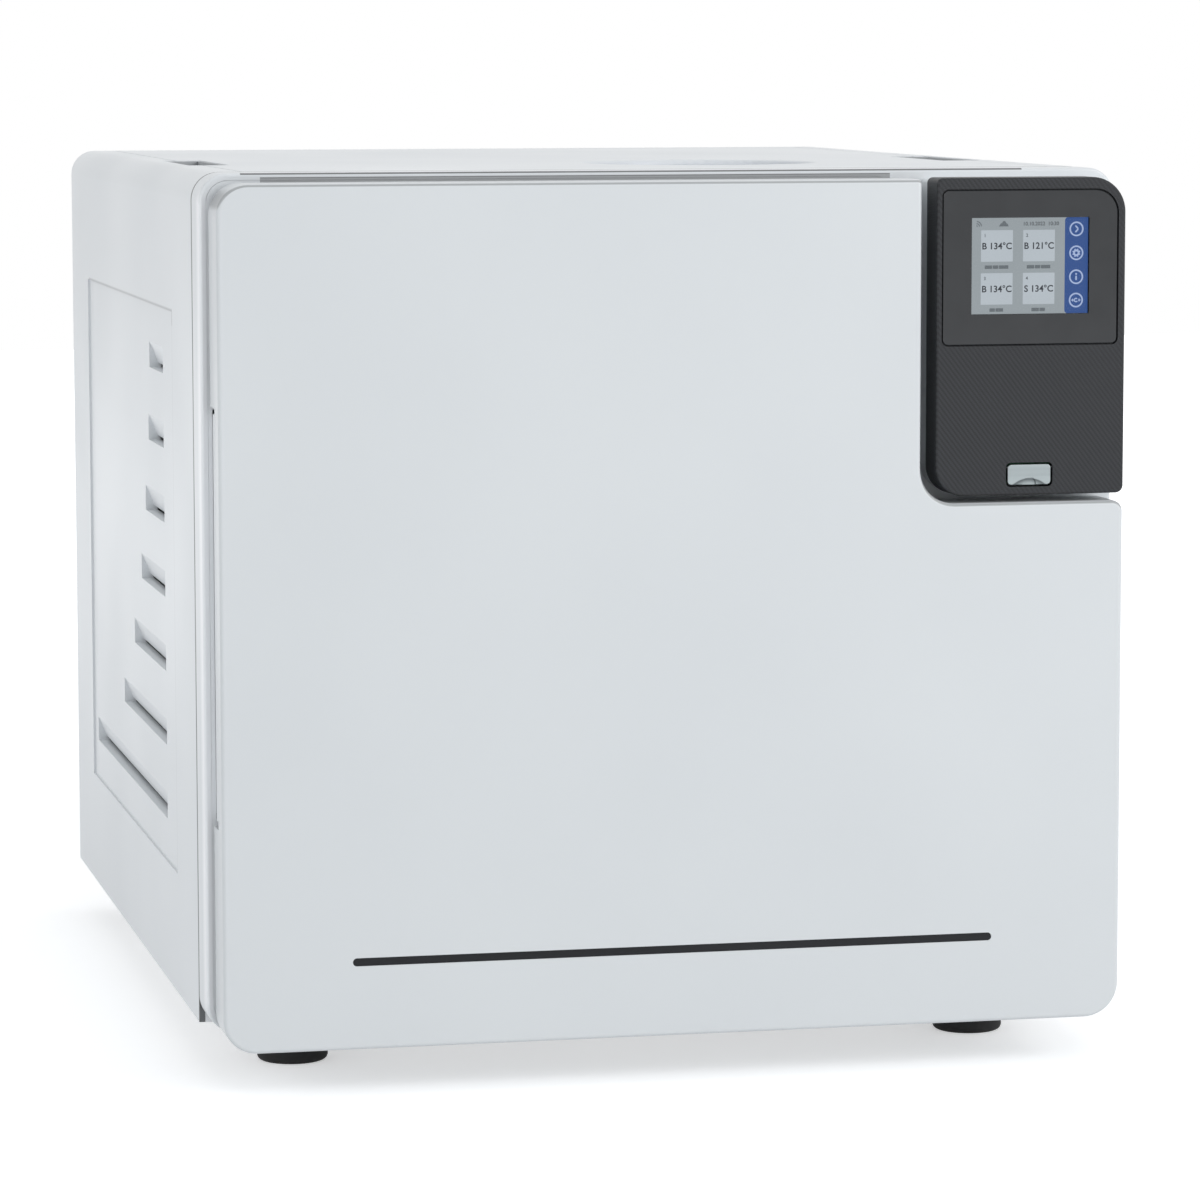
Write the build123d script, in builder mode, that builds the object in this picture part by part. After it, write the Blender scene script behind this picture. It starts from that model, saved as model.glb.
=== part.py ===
from build123d import *
import os
from math import asin, cos, radians, sin

os.makedirs("parts", exist_ok=True)

# Bench-top autoclave. Millimetres, X to the right, Y to the back, Z up.
# The origin is on the table, under the middle of the housing.

# Housing
body_width = 480
body_depth = 600
body_top = 467
foot_height = 30
skin = 3                                # moulded housing walls
sheet = 2                               # folded steel
seam_gap = 0.8
half_width = body_width / 2
inner_half = half_width - skin
front = -body_depth / 2                 # front face of the door
back = body_depth / 2
rear_recess = 14                        # the rear panel sits this far inside the housing
rear_face = back - rear_recess
inner_top = body_top - skin
shoulder = 14                           # outer radius along the top's side edges
cover_half = 214                        # seam between top cover and side panels
tray_floor = foot_height + sheet

# Bezel, the frame behind the door
rim_front = front + 33
bezel_back = front + 61
rim_wall = 3.5
recess_floor = rim_front + 15
floor_back = recess_floor + skin
block_left = 120                        # raised block behind the control panel
block_bottom = 288
bulkhead_front = bezel_back - sheet

# Door
door_left = -236
door_right = 236
door_bottom = 24.5
door_top = 462.5
door_thick = 28
door_back = front + door_thick
notch_left = 127
notch_bottom = 296
edge_round = 2
strip_left = -170
strip_right = 166.5
strip_bottom = 67.4
strip_height = 4.2

# Hinge, in the gap at the door's left edge
hinge_x = -228
hinge_y = front + 22
hinge_low = 137.5
hinge_high = 350.5
hinge_middle = (hinge_low + hinge_high) / 2
barrel_radius = 7.5
barrel_gap = 3.5
pin_radius = 3
pin_running_fit = 0.05
lug_height = 20

# Control panel, in the door's notch
panel_left = 135
panel_right = 236
panel_bottom = 299.8
panel_top = 463
panel_depth = 19
panel_wall = 2.6
panel_face = 4
panel_back = front + panel_depth
glass_left = 138.3
glass_right = 231.5
glass_bottom = 377.5
glass_top = 456.5
glass_thick = 2
glass_groove = 0.7
display_left = 151
display_right = 219
display_bottom = 390
display_top = 446
flap_left = 173.5
flap_right = 196.6
flap_bottom = 305
flap_top = 315.5
flap_thick = 2
flap_gap = 1
flap_pin = 0.6
scoop_radius = 3.6
flap_axis_y = front + 1
flap_axis_z = flap_top - 1.6

# Pressure chamber, lying along Y
chamber_x = -15
chamber_z = 228
chamber_radius = 125
chamber_outer = 128
chamber_mouth = front + 44
chamber_end = 190
dish_rise = 35
flange_radius = 150
flange_bolt_circle = 143
heater_thick = 3
insulation_inner = chamber_outer + heater_thick
insulation_outer = 150
disc_radius = 136
hub_radius = 30
gasket_inner = 122.5
gasket_outer = 133.5

# Lock on the door's free side
lock_x = 193
lock_z = 244
lock_y = -231
bolt_radius = 4.5
striker_width = 14
striker_height = 16

# Top
filler_x = 59
filler_y = -93
filler_radius = 63
filler_depth = 16
neck_radius = 32
neck_height = 8.5
cap_radius = 37
grip_inner = 199
grip_outer = 221
grip_front = -92
grip_back = 20
grip_slant = 14                         # how far the mouth's outline leans
grip_wall = 2
grip_depth = 18

# Louvres in the side panels
field_front = -158
field_back = 220
field_bottom = 94.5
field_top = 392.5
field_depth = 1.2
louvre_front = -112
louvre_ends = [203, 72, 22, -12, -33, -49, -56]      # rear ends, lowest louvre first
louvre_first = 117
louvre_pitch = 40
louvre_height = 14
louvre_scoop = 5
louvre_wall = 1.5
louvre_slot = 2.2

# Fan and condenser, at the right of the rear panel
fan_x = 184
fan_z = 130
fan_radius = 43
fan_depth = 25

# Service points in the recess behind the door
switch_x = 206
switch_z = 96
switch_half_width = 11
switch_half_height = 15
coupling_points = [(138, 68), (172, 68)]
coupling_hole = 9.5
filter_x = 186
filter_z = 146
filter_hole = 11

# Fasteners
screw_head = 4.6
screw_head_height = 3
screw_shank = 2.6
screw_grip = 4
flange_bolt_points = [
    (chamber_x + flange_bolt_circle * cos(radians(angle)),
     chamber_z + flange_bolt_circle * sin(radians(angle)))
    for angle in range(30, 390, 60)
]
hinge_screw_points = [(hinge_x + 24, hinge_z) for hinge_z in (170, 244, 318)]
rear_screw_points = [(x, z) for x in (-226, 0, 226) for z in (50, 380)]

foot_points = [(-185, -195), (185, -195), (-185, 260), (185, 260)]


def at_y(y):
    # A plane across the autoclave, seen from the front: a positive extrusion comes forward.
    return Plane.XZ.offset(-y)


def rounded_outline(points, radii):
    # Closed outline with its own radius at each corner, made into a face.
    with BuildLine() as outline:
        FilletPolyline(*points, radius=radii, close=True)
    make_face(outline.edges())


def rectangle_between(low, high, radius=0, mode=Mode.ADD):
    # Rectangle given by two opposite corners.
    middle = ((low[0] + high[0]) / 2, (low[1] + high[1]) / 2)
    with Locations(middle):
        if radius:
            RectangleRounded(high[0] - low[0], high[1] - low[1], radius, mode=mode)
        else:
            Rectangle(high[0] - low[0], high[1] - low[1], mode=mode)


def block_between(low, high, mode=Mode.ADD):
    # Box given by two opposite corners.
    middle = [(a + b) / 2 for a, b in zip(low, high)]
    with Locations(tuple(middle)):
        Box(high[0] - low[0], high[1] - low[1], high[2] - low[2], mode=mode)


def rod_along_y(x, z, radius, y_low, y_high, mode=Mode.ADD):
    with Locations((x, (y_low + y_high) / 2, z)):
        Cylinder(radius, y_high - y_low, rotation=(90, 0, 0), mode=mode)


def turned_piece(centre_x, centre_z, profile):
    # Round piece lying along Y, turned from (radius, y) points.
    plane = Plane(origin=(centre_x, 0, centre_z), x_dir=(1, 0, 0), z_dir=(0, 0, 1))
    with BuildSketch(plane) as section:
        Polygon(*profile, align=None)
    revolve(section.sketch, axis=Axis((centre_x, 0, centre_z), (0, 1, 0)))


def door_outline():
    points = [
        (door_left, door_bottom), (door_right, door_bottom), (door_right, notch_bottom),
        (notch_left, notch_bottom), (notch_left, door_top), (door_left, door_top),
    ]
    rounded_outline(points, [17, 18, 6, 18, 2.5, 16])


def panel_outline():
    points = [
        (panel_left, panel_bottom), (panel_right, panel_bottom),
        (panel_right, panel_top), (panel_left, panel_top),
    ]
    rounded_outline(points, [15, 4, 18, 3])


def save(piece, name):
    piece.part.label = name
    export_step(piece.part, f"parts/{name}.step")


# Base tray, folded from sheet, with air slots and foot holes
tray_wall = 26
with BuildPart() as base_tray:
    block_between((-inner_half, bezel_back, foot_height),
                  (inner_half, rear_face - sheet, foot_height + tray_wall))
    block_between((sheet - inner_half, bezel_back + sheet, tray_floor),
                  (inner_half - sheet, rear_face - 2 * sheet, foot_height + tray_wall),
                  mode=Mode.SUBTRACT)
    with BuildSketch(Plane.XY.offset(foot_height)):
        with GridLocations(90, 24, 3, 6):
            SlotOverall(64, 7)
    extrude(amount=sheet, mode=Mode.SUBTRACT)
    with Locations(*[(x, y, tray_floor) for x, y in foot_points]):
        Hole(3.1, depth=sheet)
save(base_tray, "base_tray")

# Rubber foot with its stud up through the tray and a nut
with BuildPart() as foot:
    with BuildSketch(Plane.XZ):
        rounded_outline([(0, 0), (19, 0), (16, foot_height), (0, foot_height)], [0, 3, 0, 0])
        rectangle_between((0, foot_height - 1), (3, foot_height + 8))
    revolve(axis=Axis.Z)
with BuildPart() as feet:
    with Locations(*[(x, y, 0) for x, y in foot_points]):
        add(foot.part)
save(feet, "feet")

# Openings that the bezel and the bulkhead share: lock, switch, couplings and filter
def service_openings():
    rectangle_between((lock_x - 17, lock_z - 16), (lock_x + 15, lock_z + 16), 3)
    rectangle_between((switch_x - switch_half_width, switch_z - switch_half_height),
                      (switch_x + switch_half_width, switch_z + switch_half_height))
    with Locations(*coupling_points):
        Circle(coupling_hole)
    with Locations((filter_x, filter_z)):
        Circle(filter_hole)


# Front bulkhead, the steel sheet that carries the chamber flange
with BuildPart() as front_bulkhead:
    with BuildSketch(at_y(bezel_back)):
        rectangle_between((-half_width + rim_wall, foot_height + rim_wall),
                          (half_width - rim_wall, body_top - rim_wall), shoulder - 4)
    extrude(amount=sheet)
    with BuildSketch(at_y(bezel_back)):
        with Locations((chamber_x, chamber_z)):
            Circle(chamber_outer + 0.5)
        rectangle_between((block_left + 20, block_bottom + 22), (panel_right - 5, panel_top - 8), 6)
        service_openings()
    extrude(amount=sheet, mode=Mode.SUBTRACT)
save(front_bulkhead, "front_bulkhead")

# Front bezel: rounded rim, recess behind the door, raised block behind the control panel
with BuildPart() as front_bezel:
    with BuildSketch(at_y(bezel_back)):
        rectangle_between((-half_width, foot_height), (half_width, body_top), shoulder)
    extrude(amount=bezel_back - rim_front)
    fillet(front_bezel.faces().sort_by(Axis.Y)[0].outer_wire().edges(), 1.6)
    with BuildSketch(at_y(recess_floor)):
        rounded_outline(
            [(-half_width + rim_wall, foot_height + rim_wall),
             (half_width - rim_wall, foot_height + rim_wall),
             (half_width - rim_wall, block_bottom), (block_left, block_bottom),
             (block_left, body_top - rim_wall), (-half_width + rim_wall, body_top - rim_wall)],
            [11, 11, 4, 10, 10, 11])
    extrude(amount=recess_floor - rim_front, mode=Mode.SUBTRACT)
    with BuildSketch(at_y(bezel_back)):
        rectangle_between((-half_width + rim_wall, foot_height + rim_wall),
                          (half_width - rim_wall, body_top - rim_wall), 10)
    extrude(amount=bezel_back - floor_back, mode=Mode.SUBTRACT)
    with BuildSketch(at_y(floor_back)):
        rectangle_between((block_left + skin, block_bottom + skin),
                          (half_width - rim_wall, body_top - rim_wall), 8)
    extrude(amount=floor_back - rim_front - skin, mode=Mode.SUBTRACT)
    # Collar that the control panel sits on, with a lip that enters it
    with BuildSketch(at_y(rim_front)):
        panel_outline()
        offset(amount=-1)
    extrude(amount=rim_front - panel_back)
    with BuildSketch(at_y(panel_back)):
        panel_outline()
        offset(amount=-panel_wall - 0.3)
    extrude(amount=3)
    with BuildSketch(at_y(rim_front + skin)):
        panel_outline()
        offset(amount=-6)
    extrude(amount=rim_front + skin - panel_back + 3, mode=Mode.SUBTRACT)
    # Chamber mouth, hinge slot, lock slot, switch, couplings and filter
    with BuildSketch(at_y(floor_back)):
        with Locations((chamber_x, chamber_z)):
            Circle(flange_radius + 3)
        rectangle_between((hinge_x - 5.5, hinge_low), (hinge_x + 6, hinge_high))
        service_openings()
    extrude(amount=skin, mode=Mode.SUBTRACT)
save(front_bezel, "front_bezel")

# Door cover: moulded shell with the notch round the control panel
with BuildPart() as door_cover:
    with BuildSketch(at_y(door_back)):
        door_outline()
    extrude(amount=door_thick)
    fillet(door_cover.faces().sort_by(Axis.Y)[0].outer_wire().edges(), edge_round)
    with BuildSketch(at_y(door_back)):
        door_outline()
        offset(amount=-skin)
    extrude(amount=door_thick - skin, mode=Mode.SUBTRACT)
    with BuildSketch(at_y(front)):
        with Locations(((strip_left + strip_right) / 2, strip_bottom + strip_height / 2)):
            SlotOverall(strip_right - strip_left, strip_height)
    extrude(amount=-skin, mode=Mode.SUBTRACT)
    block_between((door_left - 1, hinge_y - barrel_radius - 1.5, hinge_low),
                  (hinge_x + 10, door_back + 1, hinge_high), mode=Mode.SUBTRACT)
save(door_cover, "door_cover")

# Light strip, a bar with a flange behind the door's front wall
with BuildPart() as light_strip:
    with BuildSketch(at_y(front + skin)):
        with Locations(((strip_left + strip_right) / 2, strip_bottom + strip_height / 2)):
            SlotOverall(strip_right - strip_left, strip_height)
    extrude(amount=skin - 0.5)
    with BuildSketch(at_y(front + skin)):
        with Locations(((strip_left + strip_right) / 2, strip_bottom + strip_height / 2)):
            SlotOverall(strip_right - strip_left + 8, strip_height + 8)
    extrude(amount=-2)
save(light_strip, "light_strip")

# Door liner, the inner face of the door, with a raised ring round the pressure disc
ring_outer = 150
ring_width = 3
ring_rise = 3.5
with BuildPart() as door_liner:
    with BuildSketch(at_y(door_back)):
        door_outline()
        offset(amount=-skin - 0.2)
        rectangle_between((door_left, hinge_low - 2), (hinge_x + 12, hinge_high + 2), mode=Mode.SUBTRACT)
        with Locations((chamber_x, chamber_z)):
            Circle(hub_radius + 4, mode=Mode.SUBTRACT)
        rectangle_between((lock_x - 12, lock_z - 14), (lock_x + 12, lock_z + 14), 3,
                          mode=Mode.SUBTRACT)
    extrude(amount=skin)
    with BuildSketch(at_y(door_back - skin)):
        with Locations((chamber_x, chamber_z)):
            Circle(ring_outer)
            Circle(ring_outer - ring_width, mode=Mode.SUBTRACT)
    extrude(amount=ring_rise)
save(door_liner, "door_liner")

# Door frame: cast plate that tapers from the hinge side to the lock side, with hub, ribs,
# hinge lugs and striker pad
frame_front = front + 8
frame_thick = 5
frame_back = frame_front + frame_thick
frame_left = hinge_x + 12
frame_right = lock_x + 15
pad_thick = 6
rib_height = 8
rib_thick = 5
lug_reach = 24
stud_radius = 10
with BuildPart() as door_frame:
    with BuildSketch(at_y(frame_back)):
        rounded_outline(
            [(frame_left, hinge_low - lug_height), (-150, hinge_low - lug_height), (-60, 150),
             (frame_right, 184), (frame_right, 284), (90, 288), (-60, 306),
             (-150, hinge_high + lug_height), (frame_left, hinge_high + lug_height)],
            [4, 20, 30, 12, 12, 30, 20, 20, 4])
    extrude(amount=frame_thick)
    rod_along_y(chamber_x, chamber_z, hub_radius, frame_back, door_back - skin)
    for rib_z in (chamber_z - 60, chamber_z + 62):
        block_between((-190, frame_back, rib_z), (120, frame_back + rib_height, rib_z + rib_thick))
    block_between((lock_x - 13, frame_back, lock_z - 20), (lock_x + 13, frame_back + pad_thick, lock_z + 20))
    # Hinge lugs above and below the barrel, each bored for the pin
    for lug_low in (hinge_low - lug_height, hinge_high):
        block_between((door_left + skin + 0.3, hinge_y - 7, lug_low),
                      (hinge_x + lug_reach, hinge_y + 3, lug_low + lug_height))
        block_between((frame_left, frame_front, lug_low),
                      (hinge_x + lug_reach, hinge_y, lug_low + lug_height))
    with Locations((hinge_x, hinge_y, hinge_middle)):
        Cylinder(pin_radius + pin_running_fit, hinge_high - hinge_low + 3 * lug_height,
                 mode=Mode.SUBTRACT)
    rod_along_y(chamber_x, chamber_z, stud_radius, frame_front, door_back, mode=Mode.SUBTRACT)
save(door_frame, "door_frame")

# Hinge arm: plate on the bulkhead, web through the bezel and the barrel that holds the pin
arm_half = 4                            # half the web's thickness, and the plate's thickness
arm_reach = 34
with BuildPart() as hinge_arm:
    with BuildSketch(Plane.XY.offset(hinge_low + barrel_gap)):
        with Locations((hinge_x, hinge_y)):
            Circle(barrel_radius)
        rectangle_between((hinge_x - arm_half, hinge_y), (hinge_x + arm_half, bulkhead_front))
        rectangle_between((hinge_x - arm_half, bulkhead_front - arm_half),
                          (hinge_x + arm_reach, bulkhead_front))
        with Locations((hinge_x, hinge_y)):
            Circle(pin_radius, mode=Mode.SUBTRACT)
    extrude(amount=hinge_high - hinge_low - 2 * barrel_gap)
    for screw_x, screw_z in hinge_screw_points:
        rod_along_y(screw_x, screw_z, screw_shank, bulkhead_front - screw_grip, bulkhead_front,
                    mode=Mode.SUBTRACT)
save(hinge_arm, "hinge_arm")

with BuildPart() as hinge_pin:
    with Locations((hinge_x, hinge_y, hinge_middle)):
        Cylinder(pin_radius, hinge_high - hinge_low + 2 * lug_height - 2)
    chamfer(hinge_pin.edges().filter_by(GeomType.CIRCLE), 0.6)
save(hinge_pin, "hinge_pin")

# Pressure disc: dished plate with a gasket groove and a centre boss
disc_front = door_back + 1
disc_back = door_back + 10
disc_boss = 22
disc_dish = 112                         # the back face is hollow inside this radius
groove_depth = 4
with BuildPart() as pressure_disc:
    turned_piece(chamber_x, chamber_z, [
        (0, door_back - skin), (disc_boss, door_back - skin), (disc_boss, disc_front),
        (disc_radius - 18, disc_front), (disc_radius - 3, disc_front + 1),
        (disc_radius, disc_front + 4), (disc_radius, disc_back), (gasket_outer, disc_back),
        (gasket_outer, disc_back - groove_depth), (gasket_inner, disc_back - groove_depth),
        (gasket_inner, disc_back), (disc_dish, disc_back), (disc_dish - 12, disc_back - skin),
        (0, disc_back - skin),
    ])
save(pressure_disc, "pressure_disc")

with BuildPart() as disc_stud:
    turned_piece(chamber_x, chamber_z, [
        (0, frame_front - 4), (stud_radius + 6, frame_front - 4), (stud_radius + 6, frame_front),
        (stud_radius, frame_front), (stud_radius, door_back - skin), (0, door_back - skin),
    ])
save(disc_stud, "disc_stud")

# Door gasket: silicone ring with a lip that meets the chamber flange
gasket_lip = chamber_mouth - 0.3
with BuildPart() as door_gasket:
    turned_piece(chamber_x, chamber_z, [
        (gasket_inner, disc_back - groove_depth), (gasket_outer, disc_back - groove_depth),
        (gasket_outer, gasket_lip - 2), (gasket_outer - 2, gasket_lip), (gasket_inner + 3, gasket_lip),
        (gasket_inner, gasket_lip - 3),
    ])
save(door_gasket, "door_gasket")

# Striker, the steel tongue that the lock bolt enters
striker_root = frame_back + pad_thick
striker_tip = lock_y + 10
with BuildPart() as door_striker:
    with BuildSketch(Plane.XY.offset(lock_z - striker_height / 2)):
        rounded_outline(
            [(lock_x - striker_width / 2, striker_root), (lock_x + striker_width / 2, striker_root),
             (lock_x + striker_width / 2, striker_tip), (lock_x - striker_width / 2, striker_tip)],
            [0, 0, 6, 6])
        with Locations((lock_x, lock_y)):
            Circle(bolt_radius + 1, mode=Mode.SUBTRACT)
    extrude(amount=striker_height)
save(door_striker, "door_striker")

# Chamber: drawn vessel with a dished back and a port boss
def dome_point(radius, rise):
    # Point halfway along the shallow dome that closes the vessel.
    dome_radius = (radius ** 2 + rise ** 2) / (2 * rise)
    half_angle = asin(radius / dome_radius) / 2
    return (dome_radius * sin(half_angle), chamber_end + rise - dome_radius * (1 - cos(half_angle)))


port_boss_end = chamber_end + dish_rise + 31
port_boss_radius = 12
with BuildPart() as chamber:
    vessel_plane = Plane(origin=(chamber_x, 0, chamber_z), x_dir=(1, 0, 0), z_dir=(0, 0, 1))
    with BuildSketch(vessel_plane):
        with BuildLine() as wall:
            Polyline((chamber_radius, chamber_end), (chamber_radius, chamber_mouth),
                     (chamber_outer, chamber_mouth), (chamber_outer, chamber_end))
            ThreePointArc((chamber_outer, chamber_end), dome_point(chamber_outer, dish_rise + skin),
                          (0, chamber_end + dish_rise + skin))
            Line((0, chamber_end + dish_rise + skin), (0, chamber_end + dish_rise))
            ThreePointArc((0, chamber_end + dish_rise), dome_point(chamber_radius, dish_rise),
                          (chamber_radius, chamber_end))
        make_face(wall.edges())
    revolve(axis=Axis((chamber_x, 0, chamber_z), (0, 1, 0)))
    rod_along_y(chamber_x, chamber_z, port_boss_radius, chamber_end + dish_rise + 1, port_boss_end)
save(chamber, "chamber")

# Chamber flange with its bolt holes, seated on the bulkhead
with BuildPart() as chamber_flange:
    turned_piece(chamber_x, chamber_z, [
        (chamber_outer, chamber_mouth), (flange_radius - 2, chamber_mouth),
        (flange_radius, chamber_mouth + 2), (flange_radius, bulkhead_front),
        (chamber_outer, bulkhead_front),
    ])
    for bolt_x, bolt_z in flange_bolt_points:
        rod_along_y(bolt_x, bolt_z, screw_shank, chamber_mouth, chamber_mouth + screw_grip,
                    mode=Mode.SUBTRACT)
save(chamber_flange, "chamber_flange")

heater_width = 70
with BuildPart() as band_heaters:
    for band_front in (-200, -60, 80):
        turned_piece(chamber_x, chamber_z, [
            (chamber_outer, band_front), (insulation_inner, band_front),
            (insulation_inner, band_front + heater_width), (chamber_outer, band_front + heater_width),
        ])
save(band_heaters, "band_heaters")

insulation_front = bezel_back + 4
insulation_floor = chamber_end + dish_rise + skin + 1
insulation_back = chamber_end + dish_rise + 18
with BuildPart() as chamber_insulation:
    turned_piece(chamber_x, chamber_z, [
        (insulation_inner, insulation_front), (insulation_outer, insulation_front),
        (insulation_outer, insulation_back - 8), (insulation_outer - 8, insulation_back),
        (port_boss_radius + 0.5, insulation_back), (port_boss_radius + 0.5, insulation_floor),
        (insulation_inner, insulation_floor),
    ])
save(chamber_insulation, "chamber_insulation")

# Tray rack: sheet sides, with the ledges and cross bars spot-welded on as strips of their own
tray_width = 176
tray_length = 380
tray_rim = 16
tray_count = 5
loaded_levels = [0, 2, 4]
tray_pitch = 30
rack_front = -228
rack_back = 170
rack_bottom = chamber_z - 78
rack_sheet = 1.2
ledge = 9
ledge_rise = 2                          # the lowest ledge above the rack's bottom
bar_width = 14
bar_inset = 30
rack_half = tray_width / 2 + 1.5
with BuildPart() as rack_sides:
    for side in (-1, 1):
        side_x = sorted([chamber_x + side * rack_half, chamber_x + side * (rack_half + rack_sheet)])
        block_between((side_x[0], rack_front, rack_bottom),
                      (side_x[1], rack_back, rack_bottom + tray_count * tray_pitch))
with BuildPart() as rack_ledges:
    for side in (-1, 1):
        ledge_x = sorted([chamber_x + side * (rack_half - ledge), chamber_x + side * rack_half])
        for level in range(tray_count):
            ledge_z = rack_bottom + ledge_rise + level * tray_pitch
            block_between((ledge_x[0], rack_front, ledge_z), (ledge_x[1], rack_back, ledge_z + rack_sheet))
with BuildPart() as rack_bars:
    for bar_y in (rack_front + bar_inset, rack_back - bar_inset):
        block_between((chamber_x - rack_half, bar_y, rack_bottom),
                      (chamber_x + rack_half, bar_y + bar_width, rack_bottom + rack_sheet))
tray_rack = Compound(label="tray_rack", children=[rack_sides.part, rack_ledges.part, rack_bars.part])
export_step(tray_rack, "parts/tray_rack.step")


# Instrument tray: perforated floor with an upturned rim
tray_front = rack_front + 8
tray_sheet = 1.2
tray_corner = 8


def instrument_tray(level):
    floor_z = rack_bottom + ledge_rise + rack_sheet + 0.2 + level * tray_pitch
    low = (chamber_x - tray_width / 2, tray_front)
    high = (chamber_x + tray_width / 2, tray_front + tray_length)
    with BuildPart() as tray:
        with BuildSketch(Plane.XY.offset(floor_z)):
            rectangle_between(low, high, tray_corner)
        extrude(amount=tray_rim)
        with BuildSketch(Plane.XY.offset(floor_z + tray_sheet)):
            rectangle_between((low[0] + tray_sheet, low[1] + tray_sheet),
                              (high[0] - tray_sheet, high[1] - tray_sheet), tray_corner - tray_sheet)
        extrude(amount=tray_rim, mode=Mode.SUBTRACT)
        with BuildSketch(Plane.XY.offset(floor_z)):
            with Locations((chamber_x, tray_front + tray_length / 2)):
                with GridLocations(52, 60, 3, 6):
                    SlotOverall(36, 8)
        extrude(amount=tray_sheet, mode=Mode.SUBTRACT)
    return tray


for number, level in enumerate(loaded_levels):
    save(instrument_tray(level), f"tray_{number + 1}")

# Side panel: wraps over the top edge; sunken field with inward louvres; side is -1 or 1
def side_panel(side):
    outer = side * half_width
    inner = side * inner_half

    def across(depth, z):
        return (side * (half_width - depth), z)

    with BuildPart() as panel:
        with BuildSketch(at_y(bezel_back + seam_gap)):
            rounded_outline(
                [(outer, foot_height), (outer, body_top), (side * cover_half, body_top),
                 (side * cover_half, inner_top), (inner, inner_top), (inner, foot_height)],
                [0, shoulder, 0, 0, shoulder - skin, 0])
        extrude(amount=-(back - bezel_back - seam_gap))
        # Scoops stand inside the wall behind each louvre
        for row, louvre_end in enumerate(louvre_ends):
            low = louvre_first + row * louvre_pitch
            scoop = field_depth + louvre_scoop
            with BuildSketch(at_y(louvre_end + louvre_wall)):
                Polygon(across(skin - 0.5, low + louvre_height), across(scoop + louvre_wall, low + 2),
                        across(scoop + louvre_wall, low - louvre_wall),
                        across(skin - 0.5, low - louvre_wall), align=None)
            extrude(amount=louvre_end + 2 * louvre_wall - louvre_front)
        field_low = (min(outer, outer - side * field_depth), field_front, field_bottom)
        field_high = (max(outer, outer - side * field_depth), field_back, field_top)
        block_between(field_low, field_high, mode=Mode.SUBTRACT)
        for row, louvre_end in enumerate(louvre_ends):
            low = louvre_first + row * louvre_pitch
            scoop = field_depth + louvre_scoop
            with BuildSketch(at_y(louvre_end)):
                Polygon(across(0, low + louvre_height), across(field_depth, low + louvre_height),
                        across(scoop, low + louvre_slot), across(scoop + 3, low + louvre_slot),
                        across(scoop + 3, low), across(0, low), align=None)
            extrude(amount=louvre_end - louvre_front, mode=Mode.SUBTRACT)
        # Hand pocket cut into the wrapped edge
        block_between((min(side * cover_half, side * grip_outer), grip_front, inner_top - 1),
                      (max(side * cover_half, side * grip_outer), grip_back, body_top + 1),
                      mode=Mode.SUBTRACT)
    return panel


save(side_panel(-1), "left_side_panel")
save(side_panel(1), "right_side_panel")

# Top cover with the round filler dish and the inner halves of the hand pockets
dish_floor = body_top - filler_depth
with BuildPart() as top_cover:
    block_between((-cover_half + seam_gap, bezel_back + seam_gap, inner_top),
                  (cover_half - seam_gap, back, body_top))
    block_between((-cover_half + seam_gap, back - skin, inner_top - 8),
                  (cover_half - seam_gap, back, inner_top))
    with Locations((filler_x, filler_y, dish_floor - 2.5)):
        Cylinder(filler_radius + 3, filler_depth + 1, align=(Align.CENTER, Align.CENTER, Align.MIN))
    with Locations((filler_x, filler_y, dish_floor)):
        Cylinder(filler_radius, filler_depth, align=(Align.CENTER, Align.CENTER, Align.MIN),
                 mode=Mode.SUBTRACT)
    rim = top_cover.edges().filter_by(GeomType.CIRCLE).filter_by(
        lambda edge: abs(edge.radius - filler_radius) < 0.1)
    fillet(rim.sort_by(Axis.Z)[-1], 2.5)
    fillet(rim.sort_by(Axis.Z)[0], 6)
    with Locations((filler_x, filler_y, dish_floor)):
        Cylinder(neck_radius + 0.5, 12, mode=Mode.SUBTRACT)
    for side in (-1, 1):
        block_between((min(side * grip_inner, side * (cover_half + 1)), grip_front, inner_top - 1),
                      (max(side * grip_inner, side * (cover_half + 1)), grip_back, body_top + 1),
                      mode=Mode.SUBTRACT)
save(top_cover, "top_cover")


# Hand pocket at a top seam: a tapered cup with a slanted outline
grip_mouth = body_top - 0.4


def grip_pocket(side):
    width = grip_outer - grip_inner
    length = grip_back - grip_front
    mouth_half_width = width / 2 - grip_wall
    with BuildPart() as pocket:
        block_between((min(side * grip_inner, side * grip_outer), grip_front, body_top - grip_depth),
                      (max(side * grip_inner, side * grip_outer), grip_back, grip_mouth))
        with BuildSketch(Plane.XY.offset(grip_mouth)):
            with Locations((side * (grip_inner + width / 2), (grip_front + grip_back) / 2)):
                Polygon((-side * mouth_half_width, grip_slant - length / 2),
                        (side * mouth_half_width, grip_wall - length / 2),
                        (side * mouth_half_width, length / 2 - grip_slant),
                        (-side * mouth_half_width, length / 2 - grip_wall), align=None)
        extrude(amount=grip_wall - grip_depth, taper=4, mode=Mode.SUBTRACT)
    return pocket


save(grip_pocket(-1), "left_grip_pocket")
save(grip_pocket(1), "right_grip_pocket")

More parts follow.
